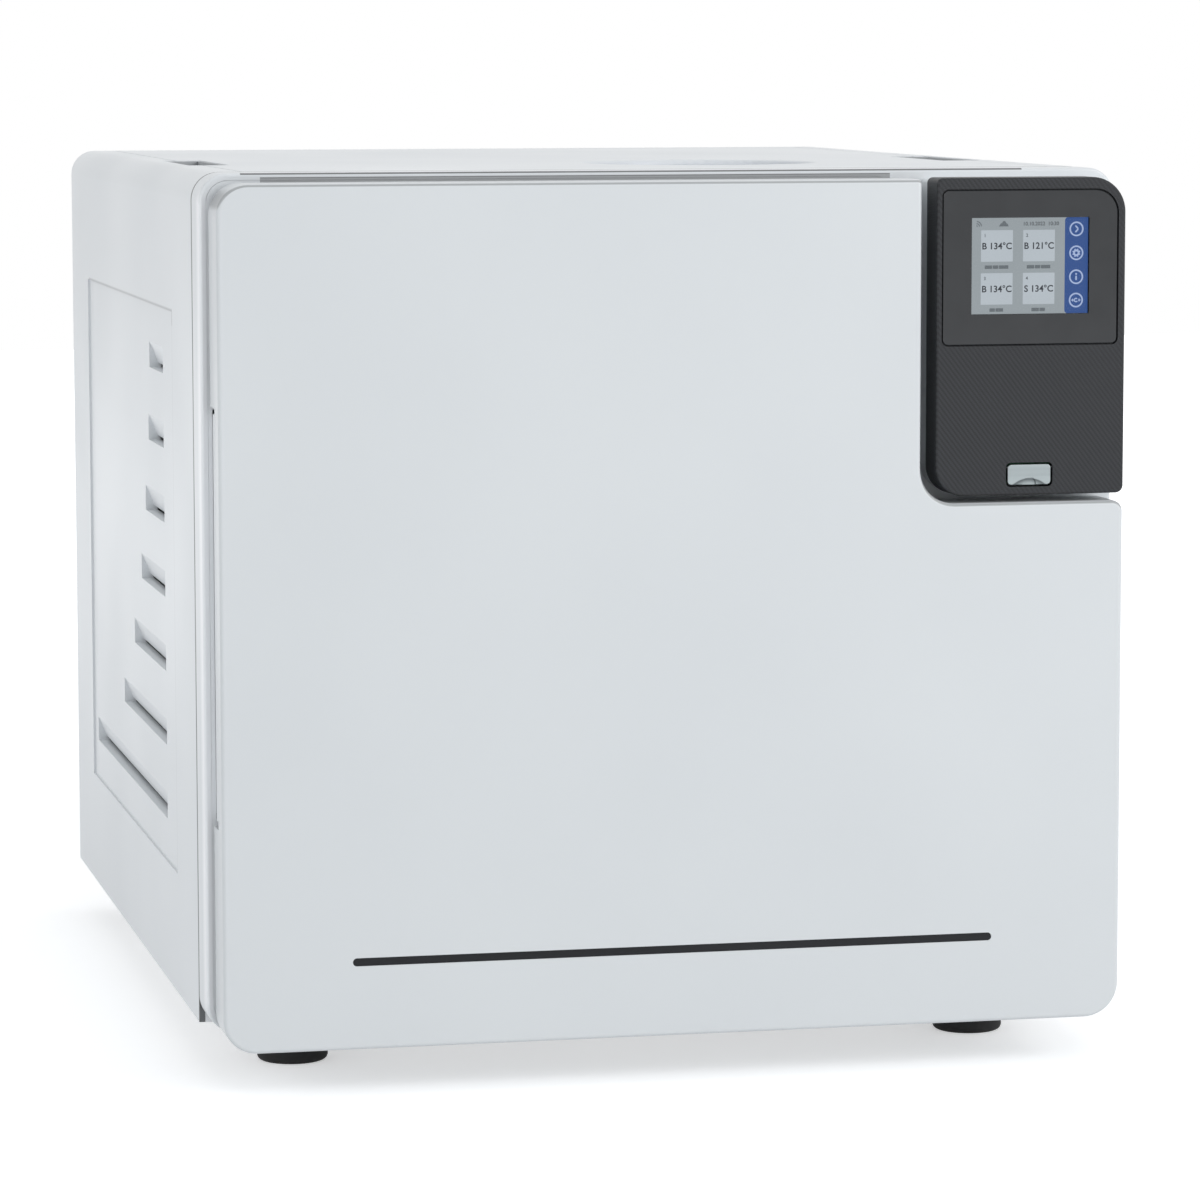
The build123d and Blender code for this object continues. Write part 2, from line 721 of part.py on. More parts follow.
# Filler cap: lifts off the tank neck, with grip ribs round its edge
cap_height = 8
with BuildPart() as filler_cap:
    with Locations((filler_x, filler_y, dish_floor + 0.5)):
        Cylinder(cap_radius - 1, cap_height, align=(Align.CENTER, Align.CENTER, Align.MIN))
    with BuildSketch(Plane.XY.offset(dish_floor + 0.5)):
        with Locations((filler_x, filler_y)):
            with PolarLocations(cap_radius - 1, 18):
                Rectangle(2, 5)
    extrude(amount=cap_height - 1.5)
    chamfer(filler_cap.edges().filter_by(GeomType.CIRCLE).sort_by(Axis.Z)[-1], 1)
    with Locations((filler_x, filler_y, dish_floor + 0.5)):
        Cylinder(neck_radius + 0.4, cap_height - 2.5, align=(Align.CENTER, Align.CENTER, Align.MIN),
                 mode=Mode.SUBTRACT)
save(filler_cap, "filler_cap")

# Clean water tank under the top cover, with the neck that rises into the dish
tank_bottom = 388
tank_top = dish_floor - 3.5
tank_wall = 2.5
tank_left = -216


def water_tank(front_y, back_y, right_x):
    # Blow-moulded box with rounded corners; the openings in its top are cut by the caller.
    low = (tank_left, front_y, tank_bottom)
    high = (right_x, back_y, tank_top)
    with BuildPart() as tank:
        block_between(low, high)
        fillet(tank.edges().filter_by(Axis.Z), 14)
        fillet(tank.faces().sort_by(Axis.Z)[0].edges(), 5)
        block_between([v + tank_wall for v in low], [v - tank_wall for v in high], mode=Mode.SUBTRACT)
    return tank.part


with BuildPart() as clean_water_tank:
    add(water_tank(-212, 62, 118))
    with Locations((filler_x, filler_y, tank_top)):
        Cylinder(neck_radius, neck_height, align=(Align.CENTER, Align.CENTER, Align.MIN))
        Cylinder(neck_radius - skin, 3 * neck_height, mode=Mode.SUBTRACT)
save(clean_water_tank, "clean_water_tank")

with BuildPart() as used_water_tank:
    add(water_tank(72, 262, 196))
    with Locations((150, 240, tank_top)):
        Cylinder(7, 20, mode=Mode.SUBTRACT)
save(used_water_tank, "used_water_tank")

# Tank shelf: folded sheet on two side legs, over the chamber
shelf_half = 224
shelf_front = bezel_back + 6
shelf_back = 268
leg_back = 250
leg_window_front = 20
with BuildPart() as tank_shelf:
    block_between((-shelf_half, shelf_front, tank_bottom - sheet), (shelf_half, shelf_back, tank_bottom))
    for side in (-1, 1):
        leg_x = sorted([side * shelf_half, side * (shelf_half - sheet)])
        block_between((leg_x[0], shelf_front, tray_floor), (leg_x[1], leg_back, tank_bottom - sheet))
        with BuildSketch(Plane.YZ.offset(side * shelf_half)):
            rectangle_between((leg_window_front, 70), (leg_back - 20, 350), 12)
        extrude(amount=-side * skin, mode=Mode.SUBTRACT)
save(tank_shelf, "tank_shelf")

# Control housing: shell with a pocket for the glass, the display window and the port opening
with BuildPart() as control_housing:
    with BuildSketch(at_y(panel_back)):
        panel_outline()
    extrude(amount=panel_depth)
    fillet(control_housing.faces().sort_by(Axis.Y)[0].outer_wire().edges(), 1.2)
    with BuildSketch(at_y(panel_back)):
        panel_outline()
        offset(amount=-panel_wall)
    extrude(amount=panel_depth - panel_face, mode=Mode.SUBTRACT)
    with BuildSketch(at_y(front + glass_thick)):
        rounded_outline(
            [(glass_left - glass_groove, glass_bottom - glass_groove),
             (glass_right + glass_groove, glass_bottom - glass_groove),
             (glass_right + glass_groove, glass_top + glass_groove),
             (glass_left - glass_groove, glass_top + glass_groove)],
            [3.5, 3.5, 12.5, 3.5])
    extrude(amount=glass_thick, mode=Mode.SUBTRACT)
    with BuildSketch(at_y(front)):
        rectangle_between((display_left - 0.5, display_bottom - 0.5),
                          (display_right + 0.5, display_top + 0.5), 1)
        rectangle_between((flap_left - flap_gap, flap_bottom - flap_gap),
                          (flap_right + flap_gap, flap_top + flap_gap), 2.5)
    extrude(amount=-panel_face, mode=Mode.SUBTRACT)
    with Locations(((flap_left + flap_right) / 2, flap_axis_y, flap_axis_z)):
        Cylinder(flap_pin + pin_running_fit, flap_right - flap_left + 6, rotation=(0, 90, 0),
                 mode=Mode.SUBTRACT)
save(control_housing, "control_housing")

with BuildPart() as screen_glass:
    with BuildSketch(at_y(front + glass_thick)):
        rounded_outline(
            [(glass_left, glass_bottom), (glass_right, glass_bottom),
             (glass_right, glass_top), (glass_left, glass_top)], [3, 3, 12, 3])
    extrude(amount=glass_thick)
    chamfer(screen_glass.faces().sort_by(Axis.Y)[0].outer_wire().edges(), 0.3)
save(screen_glass, "screen_glass")

# Display module behind the glass: a framed panel with a thinner back plate
board_front = front + 7.5
display_step = front + 5
with BuildPart() as display_module:
    block_between((display_left, front + glass_thick, display_bottom),
                  (display_right, display_step, display_top))
    block_between((display_left + 3, display_step, display_bottom + 3),
                  (display_right - 3, board_front, display_top - 3))
save(display_module, "display_module")

# Port socket behind the flap, with its contact tongue
socket_x = (flap_left + flap_right) / 2
socket_z = (flap_bottom + flap_top) / 2
socket_half_width = 7.2
socket_half_height = 3.6
socket_wall = 0.8


def around_socket(width_less, height_less, y_low, y_high, mode=Mode.ADD):
    # Box centred on the socket, smaller than its shell by the given amounts on each side.
    half_x = socket_half_width - width_less
    half_z = socket_half_height - height_less
    block_between((socket_x - half_x, y_low, socket_z - half_z),
                  (socket_x + half_x, y_high, socket_z + half_z), mode=mode)


with BuildPart() as port_socket:
    around_socket(0, 0, front + 4.5, panel_back)
    around_socket(socket_wall, socket_wall, front + 4, panel_back - 3, mode=Mode.SUBTRACT)
    block_between((socket_x - 5.6, front + 6, socket_z), (socket_x + 5.6, panel_back - 2, socket_z + 1.8))
save(port_socket, "port_socket")

# Control board with the socket's cut-out and its three larger components
board_thick = 1.6
board_back = board_front + board_thick
board_left = 141
board_right = 230
board_bottom = 305
board_top = 457
board_parts = [                         # left and right, bottom and top, height off the board
    (160, 182, 400, 422, 2),
    (196, 216, 350, 360, 6),
    (150, 164, 340, 362, 4),
]
with BuildPart() as control_board:
    with BuildSketch(at_y(board_front)):
        rounded_outline([(board_left, board_bottom), (board_right, board_bottom),
                         (board_right, board_top), (board_left, board_top)], [14, 3, 15, 3])
    extrude(amount=-board_thick)
    around_socket(0, 0, board_front - 1, board_front + 3, mode=Mode.SUBTRACT)
    for left, right, low, high, height in board_parts:
        block_between((left, board_back, low), (right, board_back + height, high))
save(control_board, "control_board")

# Port flap: hinged along its top edge, with a finger scoop at the bottom
with BuildPart() as port_flap:
    with BuildSketch(at_y(front + flap_thick)):
        rectangle_between((flap_left, flap_bottom), (flap_right, flap_top), 2)
    extrude(amount=flap_thick)
    fillet(port_flap.faces().sort_by(Axis.Y)[0].outer_wire().edges(), 0.4)
    rod_along_y(socket_x, flap_bottom + 0.6, scoop_radius, front - 1, front + 0.9, mode=Mode.SUBTRACT)
    with Locations((socket_x, flap_axis_y, flap_axis_z)):
        Cylinder(flap_pin, flap_right - flap_left + 2 * flap_gap + 2, rotation=(0, 90, 0))
save(port_flap, "port_flap")

# Lock housing behind the bulkhead: mouth for the striker and a guide for the bolt
lock_half = 22
lock_low = lock_z - 44
lock_back = lock_y + 18
with BuildPart() as lock_housing:
    block_between((lock_x - lock_half, bezel_back, lock_low), (lock_x + lock_half, lock_back, lock_z + 28))
    fillet(lock_housing.edges().filter_by(Axis.Z), 4)
    block_between((lock_x - 13, bezel_back - 1, lock_z - 11), (lock_x + 15, lock_back - 5, lock_z + 13),
                  mode=Mode.SUBTRACT)
    with Locations((lock_x, lock_y, lock_z - 8)):
        Cylinder(bolt_radius + pin_running_fit, 74, mode=Mode.SUBTRACT)
save(lock_housing, "lock_housing")

bolt_top = lock_z - striker_height / 2 - 4
bolt_length = 30
with BuildPart() as lock_bolt:
    with Locations((lock_x, lock_y, bolt_top)):
        Cylinder(bolt_radius, bolt_length, align=(Align.CENTER, Align.CENTER, Align.MAX))
    chamfer(lock_bolt.edges().filter_by(GeomType.CIRCLE).sort_by(Axis.Z)[-1], 1.5)
save(lock_bolt, "lock_bolt")

motor_radius = 12
motor_length = 34
with BuildPart() as lock_motor:
    with Locations((lock_x, bezel_back + motor_radius + 2, lock_low)):
        Cylinder(motor_radius, motor_length, align=(Align.CENTER, Align.CENTER, Align.MAX))
    with Locations((lock_x, bezel_back + motor_radius + 2, lock_low - motor_length)):
        Cylinder(motor_radius / 3, 4, align=(Align.CENTER, Align.CENTER, Align.MAX))
save(lock_motor, "lock_motor")

# Service points behind the door: air filter, drain couplings, mains switch
filter_front = recess_floor - 10
filter_radius = 24
filter_shank = filter_hole - 0.5
filter_end = bezel_back + 24
with BuildPart() as air_filter:
    turned_piece(filter_x, filter_z, [
        (0, filter_front), (filter_radius - 4, filter_front), (filter_radius, filter_front + 3),
        (filter_radius, recess_floor), (filter_shank, recess_floor), (filter_shank, filter_end),
        (4, filter_end), (4, filter_end + 10), (0, filter_end + 10),
    ])
    with BuildSketch(at_y(recess_floor)):
        with Locations((filter_x, filter_z)):
            with PolarLocations(filter_radius, 10):
                Rectangle(2.4, 4)
    extrude(amount=6)
save(air_filter, "air_filter")

coupling_bore = 4
coupling_end = bezel_back + 18
with BuildPart() as drain_couplings:
    for coupling_x, coupling_z in coupling_points:
        turned_piece(coupling_x, coupling_z, [
            (coupling_bore, recess_floor - 9), (8, recess_floor - 9), (8, recess_floor - 3),
            (12, recess_floor - 3), (12, recess_floor), (coupling_hole - 0.5, recess_floor),
            (coupling_hole - 0.5, coupling_end), (0, coupling_end), (0, recess_floor + 4),
            (coupling_bore, recess_floor + 4),
        ])
save(drain_couplings, "drain_couplings")

switch_pivot_y = recess_floor + 5
switch_pin = 1.5
rocker_tilt = 8
rocker_width = 16
rocker_half = 10.5
with BuildPart() as switch_body:
    block_between((switch_x - switch_half_width - 2, recess_floor - 2, switch_z - switch_half_height - 2),
                  (switch_x + switch_half_width + 2, recess_floor, switch_z + switch_half_height + 2))
    fillet(switch_body.edges().filter_by(Axis.Y), 2)
    block_between((switch_x - switch_half_width, recess_floor, switch_z - switch_half_height),
                  (switch_x + switch_half_width, recess_floor + 26, switch_z + switch_half_height))
    block_between((switch_x - rocker_width / 2 - 0.5, recess_floor - 3, switch_z - rocker_half - 2),
                  (switch_x + rocker_width / 2 + 0.5, recess_floor + 12, switch_z + rocker_half + 2),
                  mode=Mode.SUBTRACT)
    with Locations((switch_x, switch_pivot_y, switch_z)):
        Cylinder(switch_pin + pin_running_fit, 20, rotation=(0, 90, 0), mode=Mode.SUBTRACT)
save(switch_body, "switch_body")

# Rocker drawn level, on a plane tilted to its resting side
tilted = Plane(origin=(switch_x - rocker_width / 2, switch_pivot_y, switch_z),
               x_dir=(0, cos(radians(rocker_tilt)), sin(radians(rocker_tilt))), z_dir=(1, 0, 0))
with BuildPart() as power_rocker:
    with BuildSketch(tilted):
        Polygon((-8, rocker_half), (-6.2, 0), (-8, -rocker_half), (-3, -rocker_half), (3, -3), (3, 3),
                (-3, rocker_half), align=None)
    extrude(amount=rocker_width)
    with Locations((switch_x, switch_pivot_y, switch_z)):
        Cylinder(switch_pin, 19.6, rotation=(0, 90, 0))
save(power_rocker, "power_rocker")

# Steam generator: flanged boiler on three legs
boiler_x = 182
boiler_y = 62
boiler_low = 46
boiler_seam = boiler_low + 22           # lower face of the bolted flange
boiler_top = 170
boiler_radius = 34
with BuildPart() as steam_generator:
    with BuildSketch(Plane.XZ.offset(-boiler_y)):
        with BuildLine():
            Polyline(*[(boiler_x + radius, z) for radius, z in (
                (0, boiler_low), (boiler_radius - 4, boiler_low), (boiler_radius + 4, boiler_low + 8),
                (boiler_radius + 4, boiler_seam), (boiler_radius + 5.5, boiler_seam),
                (boiler_radius + 5.5, boiler_seam + 8), (boiler_radius, boiler_seam + 8),
                (boiler_radius, boiler_top - 18), (boiler_radius - 8, boiler_top - 6),
                (8, boiler_top), (8, boiler_top + 8), (0, boiler_top + 8))], close=True)
        make_face()
    revolve(axis=Axis((boiler_x, boiler_y, 0), (0, 0, 1)))
    with Locations((boiler_x, boiler_y, tray_floor)):
        with PolarLocations(boiler_radius - 6, 3):
            Cylinder(4, 24, align=(Align.CENTER, Align.CENTER, Align.MIN))
save(steam_generator, "steam_generator")

# Steam pipe from the boiler to the chamber's port
pipe_y = port_boss_end - 7
pipe_low = boiler_top + 8
with BuildPart() as steam_pipe:
    with BuildLine():
        FilletPolyline((boiler_x, boiler_y, pipe_low), (boiler_x, boiler_y, chamber_z),
                       (boiler_x, pipe_y, chamber_z), (chamber_x + port_boss_radius, pipe_y, chamber_z),
                       radius=22)
    with BuildSketch(Plane.XY.offset(pipe_low)):
        with Locations((boiler_x, boiler_y)):
            Circle(4)
    sweep()
save(steam_pipe, "steam_pipe")

# Safety valve on the port boss, through the rear panel
valve_radius = 12
with BuildPart() as safety_valve:
    turned_piece(chamber_x, chamber_z, [
        (0, port_boss_end), (8, port_boss_end), (8, port_boss_end + 8),
        (valve_radius, port_boss_end + 8), (valve_radius, rear_face + 4), (9, rear_face + 6),
        (9, rear_face + 12), (5, rear_face + 12), (5, rear_face + 4), (0, rear_face + 4),
    ])
save(safety_valve, "safety_valve")

# Vacuum pump: motor between two diaphragm heads on a base plate
pump_x = -184
pump_z = 82
pump_front = 60
pump_length = 180
pump_half = 36
pump_motor = 34
head_length = 24
plate_thick = 4
with BuildPart() as vacuum_pump:
    block_between((pump_x - pump_half, pump_front, tray_floor),
                  (pump_x + pump_half, pump_front + pump_length, tray_floor + plate_thick))
    rod_along_y(pump_x, pump_z, pump_motor, pump_front + head_length, pump_front + pump_length - head_length)
    for saddle_y in (pump_front + 40, pump_front + 126):
        block_between((pump_x - 20, saddle_y, tray_floor + plate_thick),
                      (pump_x + 20, saddle_y + 14, pump_z - 26))
    for head_y in (pump_front, pump_front + pump_length - head_length):
        block_between((pump_x - pump_half + 3, head_y, tray_floor + 6),
                      (pump_x + pump_half - 3, head_y + head_length, pump_z + 38))
    fillet(vacuum_pump.edges().filter_by(Axis.Y).group_by(Axis.Z)[-1], 8)
save(vacuum_pump, "vacuum_pump")

# Water pump: coil, core tube and nozzles in line, on a foot
water_pump_x = -188
water_pump_y = -128
water_pump_z = 66
with BuildPart() as water_pump:
    for radius, half_length in ((22, 32), (9, 44), (5, 58)):
        rod_along_y(water_pump_x, water_pump_z, radius,
                    water_pump_y - half_length, water_pump_y + half_length)
    block_between((water_pump_x - 18, water_pump_y - 18, tray_floor),
                  (water_pump_x + 18, water_pump_y + 18, water_pump_z - 16))
save(water_pump, "water_pump")

# Valve block on the shelf's left leg, with its solenoid coils
valve_left = sheet - shelf_half
valve_right = -190
valve_low = 112
valve_high = 148
valve_front = -140
valve_back = 0
coil_places = [valve_front + 18 + 34 * number for number in range(4)]
with BuildPart() as valve_block:
    block_between((valve_left, valve_front, valve_low), (valve_right, valve_back, valve_high))
    fillet(valve_block.edges().filter_by(Axis.Z), 3)
    with Locations(*[((valve_left + valve_right) / 2, y, valve_high) for y in coil_places]):
        Cylinder(6, 8, align=(Align.CENTER, Align.CENTER, Align.MIN))
save(valve_block, "valve_block")

with BuildPart() as solenoid_coils:
    with Locations(*[(valve_right, y, (valve_low + valve_high) / 2) for y in coil_places]):
        Cylinder(11, 30, rotation=(0, 90, 0), align=(Align.CENTER, Align.CENTER, Align.MIN))
save(solenoid_coils, "solenoid_coils")

# Condenser: finned tubes in front of the fan, between two end plates
condenser_left = 140
condenser_right = 221
condenser_depth = 50
condenser_front = rear_face - sheet - fan_depth - 60
condenser_back = condenser_front + condenser_depth
with BuildPart() as condenser:
    for fin in range(9):
        fin_x = condenser_left + 6 + fin * 8.5
        block_between((fin_x, condenser_front, 90), (fin_x + 1, condenser_back, 172))
    for tube_z in (106, 131, 156):
        with Locations(((condenser_left + condenser_right) / 2,
                        condenser_front + condenser_depth / 2, tube_z)):
            Cylinder(4, condenser_right - condenser_left, rotation=(0, 90, 0))
    for plate_x in (condenser_left, condenser_right - sheet):
        block_between((plate_x, condenser_front, tray_floor), (plate_x + sheet, condenser_back, 180))
    block_between((condenser_left + sheet, condenser_front, tray_floor),
                  (condenser_right - sheet, condenser_back, tray_floor + sheet))
save(condenser, "condenser")

# Fan: square frame with struts and a motor mount, rotor with seven blades, wire-like guard
fan_back = rear_face - sheet
fan_half = 46
fan_hub = 17
fan_shaft = 2
with BuildPart() as fan_housing:
    with BuildSketch(at_y(fan_back)):
        rectangle_between((fan_x - fan_half, fan_z - fan_half), (fan_x + fan_half, fan_z + fan_half), 5)
        with Locations((fan_x, fan_z)):
            Circle(fan_radius + 1.5, mode=Mode.SUBTRACT)
    extrude(amount=fan_depth)
    with BuildSketch(at_y(fan_back - fan_depth + 3)):
        with Locations((fan_x, fan_z)):
            Circle(fan_hub)
            with PolarLocations(30, 4):
                Rectangle(32, 4)
    extrude(amount=3)
    rod_along_y(fan_x, fan_z, fan_shaft, fan_back - fan_depth, fan_back - 6)
save(fan_housing, "fan_housing")

rotor_middle = fan_back - 11
blade_angle = 52
with BuildPart(Plane(origin=(fan_x, rotor_middle, fan_z), x_dir=(1, 0, 0), z_dir=(0, -1, 0))) as fan_rotor:
    Cylinder(fan_hub, 16)
    with PolarLocations(29, 7):
        Box(26, 1.4, 18, rotation=(blade_angle, 0, 0))
    Cylinder(fan_shaft + pin_running_fit, 20, mode=Mode.SUBTRACT)
save(fan_rotor, "fan_rotor")

# Rear panel with the fan opening, inlet opening, valve hole and air slots
inlet_x = -172
inlet_z = 76
inlet_half_width = 14
inlet_half_height = 11
with BuildPart() as rear_panel:
    with BuildSketch(at_y(rear_face)):
        rounded_outline([(-inner_half, foot_height), (inner_half, foot_height),
                         (inner_half, inner_top), (-inner_half, inner_top)],
                        [0, 0, shoulder - skin, shoulder - skin])
        with Locations((fan_x, fan_z)):
            Circle(fan_radius, mode=Mode.SUBTRACT)
        with Locations((chamber_x, chamber_z)):
            Circle(valve_radius + 1, mode=Mode.SUBTRACT)
        rectangle_between((inlet_x - inlet_half_width, inlet_z - inlet_half_height),
                          (inlet_x + inlet_half_width, inlet_z + inlet_half_height), mode=Mode.SUBTRACT)
        with Locations((-128, 290)):
            with GridLocations(0, 11, 1, 8):
                SlotOverall(130, 5, mode=Mode.SUBTRACT)
        with Locations(*rear_screw_points):
            Circle(screw_shank, mode=Mode.SUBTRACT)
    extrude(amount=sheet)
save(rear_panel, "rear_panel")

guard_wire = 2.2
with BuildPart() as fan_guard:
    with BuildSketch(at_y(rear_face + sheet)):
        with Locations((fan_x, fan_z)):
            for ring_radius in (46, 35, 24, 13):
                Circle(ring_radius)
                Circle(ring_radius - guard_wire, mode=Mode.SUBTRACT)
            with PolarLocations(28, 4, start_angle=45):
                Rectangle(34, guard_wire)
    extrude(amount=sheet)
save(fan_guard, "fan_guard")

# Mains inlet: flanged socket with cut corners and three pins
inlet_flange = 3
inlet_depth = 22
with BuildPart() as power_inlet:
    block_between((inlet_x - 25, rear_face, inlet_z - 13),
                  (inlet_x + 25, rear_face + inlet_flange, inlet_z + 13))
    fillet(power_inlet.edges().filter_by(Axis.Y), 4)
    block_between((inlet_x - inlet_half_width, rear_face - inlet_depth, inlet_z - inlet_half_height),
                  (inlet_x + inlet_half_width, rear_face, inlet_z + inlet_half_height))
    with BuildSketch(at_y(rear_face + inlet_flange)):
        rounded_outline(
            [(inlet_x - 12, inlet_z - 8), (inlet_x + 12, inlet_z - 8), (inlet_x + 12, inlet_z + 3),
             (inlet_x + 7, inlet_z + 8), (inlet_x - 7, inlet_z + 8), (inlet_x - 12, inlet_z + 3)],
            [1.5, 1.5, 1, 1, 1, 1])
    extrude(amount=inlet_depth - 5, mode=Mode.SUBTRACT)
    for blade_x, blade_z in ((-7, -1), (0, 3), (7, -1)):
        block_between((inlet_x + blade_x - 1, rear_face - 15, inlet_z + blade_z - 2),
                      (inlet_x + blade_x + 1, rear_face + 1, inlet_z + blade_z + 2))
save(power_inlet, "power_inlet")

# Main board on posts from the shelf's right leg, with two transformers, a heat sink and capacitors
main_face = 212
main_back = main_face + board_thick
main_front_y = -180
main_back_y = -30
main_low = 190
main_high = 340
post_inset = 6
with BuildPart() as main_board:
    block_between((main_face, main_front_y, main_low), (main_back, main_back_y, main_high))
    for post_y in (main_front_y + post_inset, main_back_y - post_inset):
        for post_z in (main_low + post_inset, main_high - post_inset):
            with Locations((main_back, post_y, post_z)):
                Cylinder(3, shelf_half - sheet - main_back, rotation=(0, 90, 0),
                         align=(Align.CENTER, Align.CENTER, Align.MIN))
    block_between((main_face - 36, -170, 284), (main_face, -120, 330))
    block_between((main_face - 16, -110, 300), (main_face, -40, 326))
    for fin in range(5):
        fin_y = -104 + 12 * fin
        block_between((main_face - 28, fin_y, 230), (main_face, fin_y + 3, 280))
    for capacitor_z in (208, 232, 256):
        with Locations((main_face, -150, capacitor_z)):
            Cylinder(9, 26, rotation=(0, 90, 0), align=(Align.CENTER, Align.CENTER, Align.MAX))
save(main_board, "main_board")

# Screws of the flange, the hinge arm and the rear panel, all of one kind
with BuildPart() as screws:
    for screw_x, screw_z in flange_bolt_points:
        rod_along_y(screw_x, screw_z, screw_head, chamber_mouth - screw_head_height, chamber_mouth)
        rod_along_y(screw_x, screw_z, screw_shank, chamber_mouth, chamber_mouth + screw_grip)
    for screw_x, screw_z in hinge_screw_points:
        hinge_plate = bulkhead_front - screw_grip
        rod_along_y(screw_x, screw_z, screw_head, hinge_plate - screw_head_height, hinge_plate)
        rod_along_y(screw_x, screw_z, screw_shank, hinge_plate, bulkhead_front)
    for screw_x, screw_z in rear_screw_points:
        rod_along_y(screw_x, screw_z, screw_head, rear_face, rear_face + screw_head_height)
        rod_along_y(screw_x, screw_z, screw_shank, rear_face - sheet, rear_face)
save(screws, "screws")
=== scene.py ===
import bmesh
import bpy
import numpy as np
from math import cos, pi, radians, sin
from mathutils import Matrix, Vector


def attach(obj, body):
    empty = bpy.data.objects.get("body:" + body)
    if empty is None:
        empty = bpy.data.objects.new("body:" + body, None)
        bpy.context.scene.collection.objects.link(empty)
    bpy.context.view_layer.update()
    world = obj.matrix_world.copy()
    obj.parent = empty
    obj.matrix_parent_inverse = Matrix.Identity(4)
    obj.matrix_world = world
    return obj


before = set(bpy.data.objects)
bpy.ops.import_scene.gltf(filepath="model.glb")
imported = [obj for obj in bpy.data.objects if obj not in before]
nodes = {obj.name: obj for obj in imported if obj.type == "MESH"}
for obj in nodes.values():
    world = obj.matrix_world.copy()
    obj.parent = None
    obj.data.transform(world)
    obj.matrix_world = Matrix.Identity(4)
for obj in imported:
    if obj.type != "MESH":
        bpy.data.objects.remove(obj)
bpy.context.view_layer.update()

print("frame loaded:", len(nodes), "nodes")

mm = 0.001
housing = "housing"


# the camera stands where the photograph was taken, in the frame of the housing
cameraSet = {
    "place": (-0.5817, -2.7449, 0.5297),
    "yaw": 12.453,            # degrees to the right of straight ahead
    "pitch": 6.355,           # degrees downwards
    "roll": -0.075,
    "focalPixels": 4965,
    "framePixels": 1200,
    "sensor": 36,
    "clip": (0.05, 50),
}


def makeCamera(settings):
    data = bpy.data.cameras.new("camera")
    data.sensor_width = settings["sensor"]
    data.lens = settings["sensor"] * settings["focalPixels"] / settings["framePixels"]
    data.clip_start, data.clip_end = settings["clip"]
    cam = bpy.data.objects.new("camera", data)
    turn = (Matrix.Rotation(radians(-settings["yaw"]), 4, "Z")
            @ Matrix.Rotation(radians(90 - settings["pitch"]), 4, "X")
            @ Matrix.Rotation(radians(settings["roll"]), 4, "Z"))
    cam.matrix_world = Matrix.Translation(settings["place"]) @ turn
    bpy.context.scene.collection.objects.link(cam)
    bpy.context.scene.camera = cam


# shader helpers
def put(tree, kind, fields=None, **sockets):
    # one shader node; sockets take a value or a link, and their underscores stand for spaces
    node = tree.nodes.new("ShaderNode" + kind)
    for field, value in (fields or {}).items():
        setattr(node, field, value)
    for name, value in sockets.items():
        fill(tree, node.inputs[name.replace("_", " ")], value)
    return node


def fill(tree, socket, value):
    if isinstance(value, bpy.types.NodeSocket):
        tree.links.new(value, socket)
    else:
        socket.default_value = value


def calc(tree, operation, *values):
    # one Math node; each value is a number or a link
    node = tree.nodes.new("ShaderNodeMath")
    node.operation = operation
    for socket, value in zip(node.inputs, values):
        fill(tree, socket, value)
    return node.outputs[0]


def blendColour(tree, share, first, second):
    # first + share (second - first)
    node = tree.nodes.new("ShaderNodeMix")
    node.data_type = "RGBA"
    fill(tree, node.inputs["Factor"], share)
    fill(tree, node.inputs["A"], first)
    fill(tree, node.inputs["B"], second)
    return node.outputs["Result"]


def span(tree, value, low, high, newLow, newHigh, smooth=False):
    # takes low...high to newLow...newHigh, and stays level outside
    kind = "SMOOTHSTEP" if smooth else "LINEAR"
    node = put(tree, "MapRange", {"interpolation_type": kind}, Value=value,
               From_Min=low, From_Max=high, To_Min=newLow, To_Max=newHigh)
    return node.outputs["Result"]


def ownPlace(tree):
    return tree.nodes.new("ShaderNodeTexCoord").outputs["Object"]


def splitPlace(tree):
    return put(tree, "SeparateXYZ", Vector=ownPlace(tree)).outputs


def noise(tree, scale, detail, place=None, **others):
    # one Noise Texture node's factor, at the object's own places unless others are given
    where = ownPlace(tree) if place is None else place
    return put(tree, "TexNoise", Vector=where, Scale=scale, Detail=detail, **others).outputs[0]


def hypotenuse(tree, first, second):
    # square root of first^2 + second^2
    squares = [calc(tree, "MULTIPLY", value, value) for value in (first, second)]
    return calc(tree, "SQRT", calc(tree, "ADD", *squares))


def newGroup(name, inputs, outputs):
    tree = bpy.data.node_groups.new(name, "ShaderNodeTree")
    for socketName, kind, value in inputs:
        socket = tree.interface.new_socket(socketName, in_out="INPUT", socket_type="NodeSocket" + kind)
        socket.default_value = value
    for socketName, kind in outputs:
        tree.interface.new_socket(socketName, in_out="OUTPUT", socket_type="NodeSocket" + kind)
    return tree, tree.nodes.new("NodeGroupInput").outputs, tree.nodes.new("NodeGroupOutput").inputs


def useGroup(tree, group, **sockets):
    node = tree.nodes.new("ShaderNodeGroup")
    node.node_tree = group
    for name, value in sockets.items():
        fill(tree, node.inputs[name], value)
    return node.outputs


# most of a noise texture's values lie between these two
usualNoise = (0.3, 0.7)


def newMaterial(name):
    paint = bpy.data.materials.new(name)
    paint.use_nodes = True
    tree = paint.node_tree
    return paint, tree, tree.nodes["Principled BSDF"]


def bump(tree, shader, height, depth):
    node = put(tree, "Bump", Strength=1.0, Distance=depth, Height=height)
    tree.links.new(node.outputs[0], shader.inputs["Normal"])


